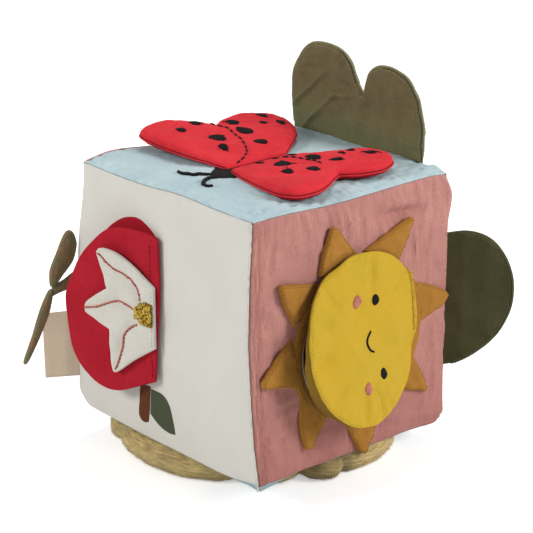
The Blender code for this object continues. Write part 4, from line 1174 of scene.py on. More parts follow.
STEM = [
    [(-18.6, 33.5), (-20.9, 16.5), (-20.6, 12.6), (-17.6, 10.4), (-13.9, 10.8), (-12.1, 14.0), (-9.2, 34.5)],
    [(-9.2, 34.5), (-18.6, 33.5)],
]
PRINT_LEAF = [
    [(-9.0, 33.2), (0.6, 32.6), (6.0, 28.6), (8.6, 21.6), (10.6, 11.2)],
    [(10.6, 11.2), (4.6, 10.2), (-3.0, 11.8), (-10.9, 17.4)],
    [(-10.9, 17.4), (-9.0, 33.2)],
]
PRINTS = [("printed_stem", STEM, PRINT_BROWN, 0.20), ("printed_leaf", PRINT_LEAF, PRINT_GREEN, 0.16)]
for name, runs, paint_cloth, high in PRINTS:
    shape = cut(outline(runs, 1.2) - [0, HALF], (0.4,), 2.6)
    front = over_panel("apple_side", shape.xy, high + 0.1 * rounded(shape.away, 0.4))
    mount(sew(name, shape, front, over_panel("apple_side", shape.xy, -0.3), paint_cloth), "block")

# %% Apple flap
APPLE_OUT = 5.0
APPLE_LIFT = 13.0
FLOWER_OUT = 7.0
FLOWER_LIFT = 17.0


def hinged_place(out, lift):
    """Placement of a flap on the apple side. X runs from the free edge to the hinge."""
    return place_at((-HALF - out, APPLE_HINGE_Y, PAD_HEIGHT), (0, -1, 0), (0, 0, 1), "Y", lift)


apple_place = hinged_place(APPLE_OUT, APPLE_LIFT)
apple = cut(outline(turned_over(APPLE_RUNS, APPLE_SCALE), 1.6), (0.3, 0.8, 1.6, 2.8), 2.6)


def apple_middle(xy):
    """Middle surface of the apple flap: a slight curl and some waves at its free edge."""
    free = np.clip(-xy[:, 0] / 66.0, 0, 1)
    return -FLAP_THICK / 2 + 0.8 * free ** 4 + 0.8 * free * waves(xy, 34.0, 211)


front, rear = flap_faces(apple, apple_middle(apple.xy), 0.15, 1.6)
apple_flap = sew("apple_flap_cloth", apple, flat_points(apple, front), flat_points(apple, rear), APPLE_RED,
        apple_place)
mount(apple_flap, "apple_flap", "apple_flap_outer", "apple_flap_lining", slot="apple_red_cloth")


def over_apple(flat, out):
    away = to_edge(flat, apple.loop)[0]
    rise = FLAP_THICK / 2 * rounded(away, 0.9) + 0.15 * rounded(away, 7.0)
    return np.column_stack([flat, apple_middle(flat) + rise + out])


hem_stitches = []
for first, last in ((44.0, 60.0), (100.0, 124.0)):
    row = [(-4.6, y) for y in np.arange(first, last, 1.0)]
    hem_stitches += running_stitch(row, over_apple, 2.0, 0.8, 0.25, seed=9)
corner = [(-4.6, 123.5), (-4, 124.5), (-1.2, 124.8)]
hem_stitches += running_stitch(smooth_run(corner, 0.5), over_apple, 1.6, 0.6, 0.12)
threads("apple_flap", "apple_hinge_stitches", hem_stitches, 0.26, RED_THREAD, apple_place)

# %% Flower flap
FLOWER_RUNS = [
    [(0, 62), (0, 98)],
    [(0, 98), (6.5, 103), (14.5, 108.8), (25, 114.3), (34, 115.5), (37.5, 112.2), (34.5, 102), (31.5, 92.3)],
    [(31.5, 92.3), (39, 87.2), (45.8, 81.6), (46.8, 78.4), (45.8, 75.3), (39, 71.8), (30.8, 68)],
    [(30.8, 68), (30.4, 56), (30, 44.8), (26.6, 42.6), (14, 52.5), (0, 62)],
]
VEINS = [
    [(36.2, 112.6), (31.9, 108.3), (26.1, 104.7), (17.6, 101.2), (13.9, 98.7), (10.5, 93.5), (9.8, 87.0)],
    [(46.2, 78.6), (38.3, 80.5), (26.5, 85.6), (20.4, 85.3), (13.5, 82.2)],
    [(27.2, 44.6), (22.8, 56), (20.9, 66.0), (17.1, 71.2), (11.1, 75)],
]
flower_place = hinged_place(FLOWER_OUT, FLOWER_LIFT)
flower = cut(outline(turned_over(FLOWER_RUNS), 1.2), (0.3, 0.8, 1.6), 2.0)


def flower_smooth(xy):
    """Middle surface of the flower flap before the veins draw it in."""
    free = np.clip(-xy[:, 0] / 46.8, 0, 1)
    return -FLAP_THICK / 2 + 1.9 * free ** 2 + 0.7 * free * waves(xy, 17.0, 221)


def flower_middle(xy):
    runs = [(a, b) for vein in VEINS for a, b in zip(vein, vein[1:])]
    creased = sum(ridge(xy, (-a[0], a[1]), (-b[0], b[1]), 2.6) for a, b in runs)
    return flower_smooth(xy) - 1.15 * np.minimum(creased, 1.2)


def flower_front(xy, away):
    return flower_middle(xy) + FLAP_THICK / 2 * rounded(away, 0.9) + 0.65 * rounded(away, 4.0)


def over_flower(flat, out):
    return np.column_stack([flat, flower_front(flat, to_edge(flat, flower.loop)[0]) + out])


rear = flower_smooth(flower.xy) - FLAP_THICK / 2 * rounded(flower.away, 0.9)
front = flower_front(flower.xy, flower.away)
flower_flap = sew("flower_flap_cloth", flower, flat_points(flower, front), flat_points(flower, rear), PETAL,
                  flower_place)
mount(flower_flap, "flower_flap", "flower_flap_outer", "flower_flap_lining", slot="flower_cloth")

vein_paths = []
for vein in VEINS:
    line = smooth_run([(-x, y) for x, y in vein], 1.35)
    slant = np.array([0.55, 0.3])
    for k in range(len(line) - 1):
        a, b = line[k] - slant, line[min(k + 1, len(line) - 1)] + slant
        vein_paths.append(over_flower(span(a, b), 0.3 * np.array([0.2, 1, 1.2, 1, 0.2])))
threads("flower_flap", "flower_veins", vein_paths, 0.44, VEIN_THREAD, flower_place)
vein_shades = [path + [0.3, -0.3, -0.12] for path in vein_paths[::2]]
threads("flower_flap", "flower_vein_shades", vein_shades, 0.34, SHADE_THREAD, flower_place)
centre_shape = np.array([
    (-1.2, 75.0), (-1.2, 88.2), (-5.5, 88.8), (-9.8, 87.6), (-12.4, 84.8), (-12.8, 80.6), (-11.2, 77.4),
    (-7.5, 75.2),
])
centre = satin(centre_shape, 8, 0.6, over_flower, 0.5, 0.4, 31)
threads("flower_flap", "flower_centre_base", centre, 0.42, RIM_THREAD, flower_place)
random, knots = np.random.default_rng(33), []
while len(knots) < 60:
    spot = random.uniform((-12.4, 75.4), (-1.4, 88.4))
    if inside(spot[None], centre_shape)[0]:
        curl = np.linspace(0, random.uniform(3.5, 5.5), 7) + random.uniform(0, 6)
        flat = spot + 0.85 * np.column_stack([np.cos(curl), np.sin(curl)])
        knots.append(over_flower(flat, 0.9 + 0.5 * np.sin(np.linspace(0, np.pi, 7))))
threads("flower_flap", "flower_centre_knots", knots, 0.36, GOLD_THREAD, flower_place)
hinge_row = running_stitch([(-2.2, y) for y in np.arange(63.0, 97.0, 1.0)], over_flower, 1.5, 0.7, 0.1)
threads("flower_flap", "flower_hinge_stitches", hinge_row, 0.18, CREAM_THREAD, flower_place)
print("flower", len(vein_paths), "vein stitches")

# %% [markdown]
# ## Mirror, ring and rays
# Under the sun flap lies a soft plastic mirror. A ring of ochre cloth covers
# its edge. Eight padded ochre triangles are caught under the ring and stand
# out like rays; zigzag stitches hold their bases.

# %% Mirror and ring
SUN_U, SUN_V = 2.0, 67.0 - HALF
MIRROR_RADIUS = 43.0
RING_INNER = 43.3
RING_OUTER = 49.8


def circle(radius, step=1.8, centre=(SUN_U, SUN_V)):
    """Flat circle, counter-clockwise."""
    count = max(16, round(2 * math.pi * radius / step))
    t = np.linspace(0, 2 * np.pi, count, endpoint=False)
    return np.column_stack([centre[0] + radius * np.cos(t), centre[1] + radius * np.sin(t)])


mirror = cut(circle(MIRROR_RADIUS), (0.6, 2.0), 4.0)
mirror_film = sew_on("sun_side", "mirror_film", mirror, 0.35 + 0.7 * rounded(mirror.away, 0.8), 0.05, MIRROR)
mount(mirror_film, "block", "mirror", slot="mirror_film")

ring_edge = circle(RING_OUTER, 1.6)
ring_turn = np.degrees(np.arctan2(ring_edge[:, 1] - SUN_V, ring_edge[:, 0] - SUN_U)) % 360
narrowed = 1 - 0.085 * np.exp(-((ring_turn - 246) / 26) ** 2)
ring_edge = np.array([SUN_U, SUN_V]) + (ring_edge - [SUN_U, SUN_V]) * narrowed[:, None]
inner_rows = [circle(RING_INNER + more, 1.6) for more in (0.0, 0.35, 0.9)]
ring = cut(ring_edge, (0.35, 0.9), 1.9, hole=inner_rows)


def ring_rise(xy, away):
    return 0.3 + 1.35 * rounded(away, 1.0) + 0.12 * waves(xy, 8.0, 231)


ring_piece = sew_on("sun_side", "mirror_ring_cloth", ring, ring_rise(ring.xy, ring.away), 0.1, OCHRE)
mount(ring_piece, "block", "mirror_ring", slot="ochre_cloth")

# %% Rays
# Each ray: one side out to the tip, the blunt tip, the other side back, and a point of its base.
RAYS = [
    ([(-30.1, 37.1), (-27.2, 50.1), (-22.7, 62.1)], [(-20.4, 63.6), (-17.4, 62.6)],
     [(-10.1, 54.3), (-0.6, 44.2)], (-14, 36)),
    ([(5.1, 43.9), (23.4, 50.5), (39.2, 55.7)], [(42.7, 54.1), (41.8, 50.8)], [(32.6, 32.2)], (18, 36)),
    ([(-47.7, 12.7), (-54.7, 27.4), (-58.2, 37.2)], [(-57.0, 39.5)], [(-45.3, 36.7), (-31.2, 33.8)],
     (-36.5, 20)),
    ([(-48.8, 6.9), (-59.4, -1.8), (-69.8, -12.4)], [(-69.5, -15.9), (-66.3, -17.4)],
     [(-56.1, -19.7), (-43.3, -24.6)], (-44, -9)),
    ([(-41.4, -26.2), (-43.1, -37.7), (-43.1, -48.3), (-39.7, -59.5)], [(-36.5, -61.6), (-33.2, -60.6)],
     [(-27.6, -53.1), (-19.9, -44.4)], (-30, -36)),
    ([(-7.5, -55), (-4.9, -59.3), (-0.9, -66.4), (3.5, -73.5)], [(6.8, -76.1), (9.5, -76.1)],
     [(11.9, -71.2), (14.6, -66.1), (19, -54)], (6, -53)),
    ([(48.0, -11.9), (58.4, -7.3), (70.1, -3.6)], [(73.3, 1.0), (70.7, 4.7)], [(57.6, 11.3), (45.0, 15.9)],
     (47, 2)),
    ([(31, -44), (42.1, -48.9), (50.2, -51.0), (56.7, -52.9)], [(57.3, -50.0)],
     [(51.4, -38.4), (43.9, -24.5)], (38, -34)),
]


def sun_spot(turn, radius):
    """Flat face position at a turn and radius from the sun's middle."""
    angle = math.radians(turn)
    return np.array([SUN_U + radius * math.cos(angle), SUN_V + radius * math.sin(angle)])


def build_ray(number, side, tip, other, base):
    """One padded triangle with a rounded tip, and its edge stitches."""
    runs = [side, [side[-1]] + tip, [tip[-1]] + other, [other[-1], base, side[0]]]
    ray = cut(outline(runs, 1.1), (0.3, 0.8, 1.5), 1.8)

    def rise(xy, away):
        radius = np.hypot(xy[:, 0] - SUN_U, xy[:, 1] - SUN_V)
        stand = np.clip((radius - 50) / 25, 0, 1)
        puff = (1.2 + 1.4 * np.clip(stand * 3, 0, 1)) * rounded(away, 3.0)
        puff = puff + 0.30 * waves(xy, 9.0, 240 + number)
        groove = 0.4 * np.exp(-((away - 1.6) / 0.5) ** 2) * np.clip(stand * 5, 0, 1)
        return 0.5 + 1.6 * stand + 0.25 + (puff - groove) * rounded(away, 0.8)

    def rear(xy, away):
        radius = np.hypot(xy[:, 0] - SUN_U, xy[:, 1] - SUN_V)
        stand = np.clip((radius - 50) / 25, 0, 1)
        return 0.4 + 1.6 * stand - 0.25 * rounded(away, 2.0)

    high, low = rise(ray.xy, ray.away), rear(ray.xy, ray.away)
    piece = sew_on("sun_side", "sun_ray_%d_cloth" % number, ray, high, low, OCHRE, 50.0)
    mount(piece, "block", "sun_ray_%d" % number, slot="ochre_cloth")

    def over(flat, out):
        return on_face("sun_side", flat, rise(flat, to_edge(flat, ray.loop)[0]) + out)

    row = stitch_row(ray, 1.2, lambda p: np.hypot(p[:, 0] - SUN_U, p[:, 1] - SUN_V) > 51.5)
    return running_stitch(row, over, 1.4, 0.8, 0.05, seed=number)


ray_stitches = []
for number, ray in enumerate(RAYS, 1):
    ray_stitches += build_ray(number, *ray)
threads("block", "ray_stitches", ray_stitches, 0.15, OCHRE_THREAD, out=(0, -1, 0))


def zigzag(radius, spread, count, lift, first=0.0, last=360.0):
    """Zigzag stitches across a circle round the sun's middle."""
    found = []
    for k in range(count):
        turn = first + (last - first) * k / count
        for a, b, step in ((-spread, spread, 0.5), (spread, -spread, 1.0)):
            start = sun_spot(turn + (step - 0.5) * (last - first) / count, radius + a)
            end = sun_spot(turn + step * (last - first) / count, radius + b)
            found.append(on_face("sun_side", span(start, end, 4), lift + 0.2 * np.array([0, 1, 1, 0])))
    return found


ring_rows = zigzag(48.9, 0.9, 66, 2.15, 58.0, 232.0) + zigzag(46.2, 0.9, 40, 1.95, 150.0, 236.0)
threads("block", "ring_zigzag", ring_rows, 0.17, ZIGZAG_THREAD, out=(0, -1, 0))
threads("block", "ring_inner_stitches", zigzag(44.2, 0.5, 130, 1.75), 0.18, YELLOW_THREAD, out=(0, -1, 0))
print("rays:", len(RAYS), "with", len(ray_stitches), "stitches")

# %% [markdown]
# ## Sun flap
# The sun's face is a round yellow flap, sewn down along a short stretch of
# its right edge. It stands open a little, more at the bottom, so the disc is
# twisted. Cheeks and eyes are satin thread, the mouth is a curved stem stitch
# and a dense zigzag holds the hinge.

# %% Sun flap
SUN_HINGE_TURN = 13.0
SUN_HINGE_RADIUS = 45.0
SUN_LIFT = 10.1
SUN_TWIST = 0.15
SUN_TWIST_RUN = 62.0
SUN_FLAP_RADIUS = 48.3
SUN_FLAP_RISE = 6.0
SUN_SETBACK = 1.0

hinge_u, hinge_v = sun_spot(SUN_HINGE_TURN, SUN_HINGE_RADIUS)
hinge_out = float(face_lift("sun_side", hinge_u, hinge_v)) + 0.3 + 1.5 + 0.3 + FLAP_THICK
turn = math.radians(SUN_HINGE_TURN)
sun_place = place_at((hinge_u, -HALF - hinge_out, hinge_v + MID_Z), (math.cos(turn), 0, math.sin(turn)),
        (-math.sin(turn), 0, math.cos(turn)), "Y", SUN_LIFT)
sun_loop = circle(1.0, 1.6 / SUN_FLAP_RADIUS, (0, 0))
wobble = 1 + 0.006 * waves(sun_loop, 1.3, 251)
# The disc isn't quite round: turn in degrees, how wide, and how far out (in shares of the radius).
SUN_BUMPS = [(-36, 9, -0.065), (-62, 14, 0.035), (124, 18, 0.03), (98, 9, -0.012), (15, 12, 0.012),
        (-144, 16, -0.012), (-100, 10, 0.012)]
sun_turns = np.degrees(np.arctan2(sun_loop[:, 1], sun_loop[:, 0]))
for middle, spread, share in SUN_BUMPS:
    wobble += share * np.exp(-(((sun_turns - middle + 180) % 360 - 180) / spread) ** 2)
sun_loop = sun_loop * (SUN_FLAP_RADIUS * wobble)[:, None] + [-SUN_FLAP_RADIUS - SUN_SETBACK, SUN_FLAP_RISE]
sun = cut(sun_loop, (0.3, 0.8, 1.5, 2.4, 3.4), 2.0)


def sun_middle(xy):
    """Middle surface of the twisted disc."""
    twist = SUN_TWIST * np.clip(-xy[:, 0] / SUN_TWIST_RUN, 0, 1)
    free = np.clip(-xy[:, 0] / 40.0, 0, 1)
    ripple = 0.45 * waves(xy, 30.0, 252) + 0.16 * waves(xy, 11.0, 253)
    return -twist * xy[:, 1] - FLAP_THICK / 2 + free * ripple


# Soft dents of the stuffed disc as (from, to, width, height).
SUN_DENTS = [
    ((-96, 14), (-78, 12), 2.8, -1.7), ((-92, -12), (-74, -8), 2.8, -1.8), ((-72, 50), (-64, 30), 2.8, -1.7),
    ((-52, -44), (-55, -20), 2.6, -2.4), ((-40, -42), (-46, -26), 2.2, 1.6),
    ((-70, -36), (-61, -20), 2.8, -1.9),
    ((-30, 50), (-36, 28), 2.8, -1.8), ((-4, 24), (-22, 22), 2.8, -1.8), ((-6, -18), (-28, -13), 2.8, -2.1),
    ((-62, 8), (-56, -12), 4.5, 1.2), ((-26, 4), (-22, -20), 4.5, 1.2), ((-84, 34), (-72, 26), 2.6, -1.4),
]


def sun_front(xy):
    away, along = to_edge(xy, sun.loop)
    groove = 0.30 * np.exp(-((away - 1.4) / 0.5) ** 2)
    dents = sum(high * ridge(xy, a, b, wide) for a, b, wide, high in SUN_DENTS)
    shape = 0.35 * rounded(away, 3.0) + 0.25 * puckers(away, along, 254, 7.0, 3.0)
    shape = shape + dents * rounded(away, 3.0) - groove
    return sun_middle(xy) + 0.5 + 0.35 * rounded(away, 0.5) + shape


def drawn_in(xy):
    """The front cloth is drawn in at its free side, so the stuffed wall below it shows."""
    share = np.clip((-xy[:, 0] - SUN_FLAP_RADIUS) / SUN_FLAP_RADIUS, 0, 1)
    return xy + np.outer(share ** 2, [0.4, 0.0])


def over_sun(flat, out):
    return np.column_stack([drawn_in(flat), sun_front(flat) + out])


def sew_sun(name, front_points, rear_points, material, node):
    """One of the two cloths of the disc."""
    piece = sew(name, sun, front_points, rear_points, material, sun_place, 40.0)
    return mount(piece, "sun_flap", node, slot="sun_cloth")


SUN_BODY = 3.6
SUN_EXTRA = 4.0
# The stuffed wall under the disc is thick at its low free side and thin near the hinge and the upper side.
free_way = -sun.xy[:, 0]
low_side = 0.1 + 0.9 * np.clip((20.0 - sun.xy[:, 1]) / 30.0, 0, 1)
wall_side = np.clip((38.0 - sun.xy[:, 1]) / 30.0, 0, 1)
stuffed = SUN_BODY * low_side * np.clip((free_way - 20.0) / 40.0, 0, 1)
stuffed += SUN_EXTRA * wall_side * np.clip((free_way - 52.0) / 28.0, 0, 1)
disc_middle = sun_middle(sun.xy)
inner = drawn_in(sun.xy)
front_rear = np.column_stack([inner, disc_middle - 0.1])
sew_sun("sun_flap_cloth", over_sun(sun.xy, 0.0), front_rear, SUN_YELLOW, "sun_flap_outer")
slope = 1.0 * low_side * np.clip((-sun.xy[:, 0] - SUN_FLAP_RADIUS) / SUN_FLAP_RADIUS, 0, 1)
lining_rear = disc_middle - 0.25 - slope - (0.55 + stuffed) * rounded(sun.away, 1.4)
lining_front = np.column_stack([inner, disc_middle - 0.12])
# The lining and its stuffed wall take the darker yellow of painted shade.
sew_sun("sun_flap_lining_cloth", lining_front, flat_points(sun, lining_rear), SUN_LINING_SHADE, "sun_flap_lining")

# %% Sun face and stitches
def sun_xy(s, t):
    """Flap position from the distance to the hinge and the height along it."""
    return np.array([-s, t])


face_parts = [
    ("sun_eyes", [((35.3, 23.1), 5.6, 6.0, 10), ((42.9, -19.3), 5.4, 6.2, 5)], BLACK_THREAD, 62),
    ("sun_cheeks", [((49.4, 29.1), 6.6, 7.4, -20), ((59.4, -19.3), 5.6, 7.4, 5)], ROSE_THREAD, 70),
]
for name, ovals, material, direction in face_parts:
    fills = []
    for k, ((s, t), wide, high, tilt) in enumerate(ovals):
        shape = oval(sun_xy(s, t), wide / 2, high / 2, tilt)
        fills += satin(shape, direction, 0.42, over_sun, 0.45, 0.3, k + 3)
    threads("sun_flap", name, fills, 0.27, material, sun_place, 0.6)
MOUTH = [(44.7, 8.6), (49.0, 6.6), (50.3, 3.4), (49.2, -0.6), (46.2, -3.8)]
mouth = smooth_run([sun_xy(*spot) for spot in MOUTH], 0.4)
mouth_paths = running_stitch(mouth, over_sun, 2.2, -0.6, 0.3,
        seed=4) + [over_sun(mouth, np.full(len(mouth), 0.05))]
threads("sun_flap", "sun_mouth", mouth_paths, 0.62, BLACK_THREAD, sun_place, 0.8)
# The stitched band at the hinge: its outer edge at three heights.
HINGE_BAND = ([-11.5, 5.0, 23.0], [-5.6, -2.0, -0.8])
hinge_zig, hinge_shade_base = [], []
for k, t in enumerate(np.arange(-11.5, 23.0, 0.5)):
    outer = np.interp(t, *HINGE_BAND)
    across = [np.array([outer - 3.0, t]), np.array([outer, t + 0.2])]
    hinge_shade_base.append(over_sun(span(*across, 4), 0.0))
    if k % 2 == 0:
        ends = [(outer - 3.2, t), (outer + 0.2, t + 0.5), (outer - 3.2, t + 1.0)]
        for a, b in zip(ends, ends[1:]):
            hinge_zig.append(over_sun(span(a, b, 4), 0.15 + 0.2 * np.array([0, 1, 1, 0])))
# The base threads under the zigzag are a darker yellow, as painted shade beneath the zigzag.
threads("sun_flap", "sun_hinge_base", hinge_shade_base, 0.32, YELLOW_THREAD, sun_place)
threads("sun_flap", "sun_hinge_zigzag", hinge_zig, 0.25, BAND_THREAD, sun_place)
hinge_row = [(np.interp(t, *HINGE_BAND) - 1.5, t) for t in np.arange(-10.5, 21.0, 0.5)]
hinge_dots = running_stitch(hinge_row, over_sun, 1.0, 1.4, 0.3, wobble=0.3, seed=8)
threads("sun_flap", "sun_hinge_dots", hinge_dots, 0.3, RIM_THREAD, sun_place)
rim_row = stitch_row(sun, 1.1, lambda p: p[:, 0] - 0.25 * p[:, 1] < -SUN_FLAP_RADIUS - 14)
rim_stitches = running_stitch(rim_row, over_sun, 1.6, 0.7, 0.06, wobble=0.2, seed=5)
threads("sun_flap", "sun_rim_stitches", rim_stitches, 0.17, RIM_THREAD, sun_place)
print("sun flap", len(sun.xy), "points")

# %% [markdown]
# ## Leaves
# The tall leaf stands in the top seam. It is thin, so its cloth pulls into
# long folds: from the notch between the lobes, and across the left lobe. The
# round leaf is smoother. Both have a row of stitches just inside the edge.

# %% Tall leaf
TALL_LEAF_RUNS = [
    [(-53.6, 0), (-54, 17), (-52.4, 25), (-50, 33.6), (-46.5, 38.6), (-41.5, 44.8), (-34.3, 48),
     (-26, 49.5), (-17, 48.4), (-10.6, 44.2), (-7.8, 39), (-5.5, 29.8)],
    [(-5.5, 29.8), (0.4, 38.2), (3.8, 45.2), (8.6, 50.4), (15, 53.5), (25, 54.8), (36, 53.8),
     (44, 49.4), (50, 41.8), (54.4, 33.5), (55.2, 20.7), (53.4, 0)],
    [(53.4, 0), (-53.6, 0)],
]


def leaf_piece(name, pattern, front, rear, place, body, nodes, material, stitching, groove_shade_where, free):
    """Padded leaf, its edge stitches on both sides, and dark threads of painted shade along the groove by its
    edge.
    """
    outer = flat_points(pattern, front(pattern.xy, pattern.away, pattern.along))
    inner = flat_points(pattern, -rear(pattern.xy, pattern.away, pattern.along))
    piece = sew(name, pattern, outer, inner, material, place, 50.0)
    mount(piece, body, *nodes, slot="olive_cloth")
    row = stitch_row(pattern, 2.0, free)

    def over(flat, out):
        away, along = to_edge(flat, pattern.loop)
        return np.column_stack([flat, front(flat, away, along) + out])

    def under(flat, out):
        away, along = to_edge(flat, pattern.loop)
        return np.column_stack([flat, -rear(flat, away, along) - out])

    rows = running_stitch(row, over, 1.9, 0.7, 0.08, seed=6)
    rows += running_stitch(row, under, 1.9, 0.7, 0.08, seed=7)
    threads(body, name + "_stitches", rows, 0.17, stitching, place)
    bead = np.column_stack([pattern.loop, 0.1 * waves(pattern.loop, 9.0, 8)])
    sewn = bead[(pattern.loop[:, 1] > 1.0) & (pattern.loop[:, 0] != pattern.loop[0, 0])]
    threads(body, name + "_seam", [opened(sewn)], 0.55, stitching, place, 0.9)
    # A dark thread along the groove just inside the edge is painted shade in that groove.
    groove_shade_paths = []
    edge = inset(pattern.loop, 0.9)
    for surface in (over, under):
        run = []
        for spot, shown in zip(edge, groove_shade_where(edge)):
            if shown and (not run or np.linalg.norm(spot - run[-1]) < 4.0):
                run.append(spot)
            elif len(run) > 4:
                groove_shade_paths.append(surface(np.array(run), np.full(len(run), 0.12)))
                run = []
        if len(run) > 4:
            groove_shade_paths.append(surface(np.array(run), np.full(len(run), 0.12)))
    threads(body, name + "_groove_shade", groove_shade_paths, 0.2, GROOVE_SHADE_THREAD, place, 0.9)
    return piece


tall = cut(outline([[(x, y - (0.5 if y > 0 else 3.0)) for x, y in run] for run in TALL_LEAF_RUNS], 1.5),
           (0.35, 0.9, 1.8, 3.0), 1.5)
tall_place = place_at((HALF, 0, TOP + 1.0), (0, 1, 0), (0, 0, 1))
# Folds as (from, to, width, height), seen from the wing side, where +Y is to the left.
TALL_FOLDS = [
    ((56, 10), (23, 39), 1.2, 1.7), ((53, 8), (24, 34), 2.4, -0.5), ((46, -1), (26, 16.5), 1.2, 1.8),
    ((27, 16), (11, 28.5), 1.2, 1.7), ((42, -1), (12, 24), 2.4, -0.5), ((46, 37), (28, 39), 1.7, -1.3),
    ((0, 28), (22, 23), 1.5, 2.0), ((0, 29.5), (13, 35), 1.5, -1.8), ((2, 30), (19, 29), 1.4, 1.8),
    ((-2, 28), (39, 7.5), 4.0, 1.5), ((-7, 27), (-24, 15.5), 3.0, -1.7), ((-3, 29), (-1, 8), 5.0, 1.6),
    ((37, 47), (17, 49), 1.9, 1.2), ((13, 53), (8, 39), 1.7, -1.5), ((-46, 5), (-50, 30), 2.4, 1.4),
    ((-30, 45), (-35, 18), 5.5, 1.6), ((50, 30), (40, 44), 3.0, 1.0), ((-20, 42), (-24, 28), 2.4, -1.2),
]


def tall_half(xy, away, along, seed):
    base = np.clip(xy[:, 1] / 8.0, 0, 1)
    body = 0.2 + (1.3 * rounded(away, 2.6) + 0.9 * rounded(away, 12.0)) * (0.35 + 0.65 * base)
    quilt = 0.30 * puckers(away, along, seed, 6.0, 2.8)
    quilt = quilt + 0.45 * waves(xy, 15.0, seed + 1) * rounded(away, 8.0)
    return body + quilt * base


def tall_outer(xy, away, along):
    return tall_half(xy, away, along, 261) * rounded(away + 0.05, 0.8)


def tall_inner(xy, away, along):
    folds = sum(high * ridge(xy, a, b, wide) for a, b, wide, high in TALL_FOLDS)
    return (tall_half(xy, away, along, 265) + folds * rounded(away, 4.0) - 0.3) * rounded(away + 0.05, 0.8)


leaf_piece("tall_leaf_cloth", tall, tall_outer, tall_inner, tall_place, "tall_leaf",
           ("tall_leaf_outer_cloth", "tall_leaf_inner_cloth", "tall_leaf_batting"), LEAF_GREEN, GREEN_THREAD,
           lambda p: (p[:, 0] < -20) | ((p[:, 0] > -1) & (p[:, 0] < 14) & (p[:, 1] > 31)),
           lambda p: p[:, 1] > 5.0)

# %% Round leaf
ROUND_LEAF_RUNS = [
    [(0, 0), (7, 2.2), (18.6, 9.3), (27.8, 18.2), (33, 26.5), (36.6, 36), (37.7, 46),
     (36.5, 57), (31.5, 69), (23, 78.4), (11, 82.4), (0, 81)],
    [(0, 81), (0, 0)],
]


def seam_place(x_side, y_side, turn, height):
    """Placement at an upright seam: X runs out from the corner at a turn, Y runs up."""
    angle = math.radians(turn)
    out = Vector((x_side, y_side, 0)).normalized()
    return place_at(Vector((x_side * HALF, y_side * HALF, height)) + out,
            (math.cos(angle), math.sin(angle), 0), (0, 0, 1))


disc = cut(outline([[(x - (0.5 if x > 0 else 3.5), y) for x, y in run] for run in ROUND_LEAF_RUNS], 1.6),
           (0.35, 0.9, 1.8, 3.0), 2.4)


def round_front(xy, away, along):
    base = np.clip(xy[:, 0] / 8.0, 0, 1)
    body = 0.2 + (1.2 * rounded(away, 2.6) + 0.9 * rounded(away, 12.0)) * (0.35 + 0.65 * base)
    quilt = 0.3 * puckers(away, along, 271, 7.0, 2.8) * base
    quilt = quilt + 0.4 * waves(xy, 22.0, 272) * rounded(away, 8.0) * base
    return (body + quilt) * rounded(away + 0.05, 0.8)


def round_rear(xy, away, along):
    return round_front(xy, away, along + 400)


leaf_piece("round_leaf_cloth", disc, round_front, round_rear, seam_place(1, -1, -45.0, PAD_HEIGHT + 31.0),
           "round_leaf", ("round_leaf_front_cloth", "round_leaf_back_cloth", "round_leaf_batting"),
           ROUND_GREEN, DEEP_THREAD, lambda p: p[:, 0] > 27, lambda p: p[:, 0] > 6.0)

# %% [markdown]
# ## Sprout and ribbon tab
# On the left seam a stalk carries two slim leaves, a fat one that points up
# and a long one that hangs down. Below it a folded ribbon is caught in the
# seam. It is left blank.

# %% Sprout
STALK_RUNS = [
    [(0, 1), (0, 12)],
    [(0, 12), (4.5, 9.8), (9.5, 6.4), (16.2, 3.4)],
    [(16.2, 3.4), (16.8, -3.4)],
    [(16.8, -3.4), (12, -1.4), (6, 0.2), (0, 1)],
]
UPPER_LEAF_RUNS = [
    [(15.2, 1.4), (17.4, 4.0), (17.6, 10), (16.8, 14.5), (13, 23.2), (8.4, 33.4), (5.2, 36.2), (2.4, 34.4),
     (0.9, 30), (0.7, 25.8), (3.2, 17.3), (9.6, 9.0), (15.2, 1.4)],
]
LOWER_LEAF_RUNS = [
    [(15.4, 1.9), (18.4, 0.8), (21.2, -4), (23.8, -9.8), (26.4, -17), (29, -25), (31.8, -32.4),
     (34.6, -39.8), (34.9, -42.6), (33.3, -43), (30.8, -39.6), (27.5, -33.4), (24.3, -27), (21.2, -20.2),
     (18.5, -13.7), (17, -8.2), (16.1, -4.2), (15.4, 1.9)],
]
SPROUT_PLACE = seam_place(-1, 1, 158.0, PAD_HEIGHT + 75.0)
sprout_rows = []
SPROUT_PARTS = [
    ("sprout_stalk", STALK_RUNS, 1.5, 3.4, 281), ("sprout_upper_leaf", UPPER_LEAF_RUNS, 2.5, 5.0, 284),
    ("sprout_lower_leaf", LOWER_LEAF_RUNS, 2.3, 4.2, 287),
]
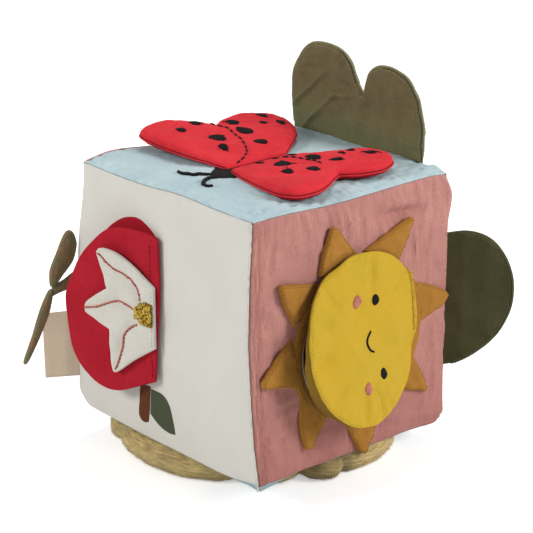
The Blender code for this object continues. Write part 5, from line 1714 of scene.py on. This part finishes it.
for name, runs, thick, roll, seed in SPROUT_PARTS:
    shape = cut(outline([[(x - 0.5, y) for x, y in run] for run in runs], 0.9), (0.25, 0.6, 1.2), 1.5)
    puff = thick * rounded(shape.away, roll) + 0.2 * puckers(shape.away, shape.along, seed, 4.0, 1.6)
    half = 0.15 + puff * rounded(shape.away, 0.5)
    piece = sew(name + "_cloth", shape, flat_points(shape, half), flat_points(shape, -half), SPROUT_GREEN,
                SPROUT_PLACE, 50.0)
    mount(piece, "sprout", name, slot="olive_cloth")
    if name != "sprout_stalk":
        for sign in (1, -1):
            def over(flat, out, sign=sign, shape=shape, thick=thick, roll=roll):
                return np.column_stack([flat,
                        sign * (0.2 + thick * rounded(to_edge(flat, shape.loop)[0], roll) + out)])
            sprout_rows += running_stitch(stitch_row(shape, 1.1), over, 1.6, 0.6, 0.05)
threads("sprout", "sprout_stitches", sprout_rows, 0.16, GREEN_THREAD, SPROUT_PLACE)

# %% Ribbon tab
LABEL_HIGH = 41.0
LABEL_OUT = 24.0
LABEL_DROOP = 5.0
label_place = seam_place(-1, 1, 120.0, PAD_HEIGHT + 20.5)
rows, columns = 28, 9
share_up = np.linspace(0, 1, rows)
path_out = np.concatenate([np.linspace(-0.5, LABEL_OUT - 1.2, columns),
        [LABEL_OUT - 0.7, LABEL_OUT - 0.5, LABEL_OUT - 0.7], np.linspace(LABEL_OUT - 1.2, -0.5, columns)])
path_side = np.concatenate([np.full(columns, 0.45), [0.35, 0.0, -0.35], np.full(columns, -0.45)])
out_grid, up_grid = np.meshgrid(path_out, share_up * LABEL_HIGH)
side_grid = np.meshgrid(path_side, share_up)[0]
bend = 0.5 * np.sin(out_grid / LABEL_OUT * 2.4 + up_grid / 17.0) * (out_grid + 0.5) / LABEL_OUT
drooped = up_grid - LABEL_DROOP * (out_grid + 0.5) / LABEL_OUT
points = np.column_stack([out_grid.ravel(), drooped.ravel(), (side_grid + bend).ravel()])
wide = path_out.size
quads = grid_quads(rows, wide)
flat_out = np.concatenate([[0.0], np.cumsum(np.hypot(np.diff(path_out), np.diff(path_side)))])
label_uv = np.column_stack([np.meshgrid(flat_out, share_up)[0].ravel(), up_grid.ravel()])
label = add_mesh("ribbon_tab", points, quads, label_uv, RIBBON, label_place)
thicken(label, 0.25, 0.0)
mount(label, "label", "label_tab", slot="ribbon")
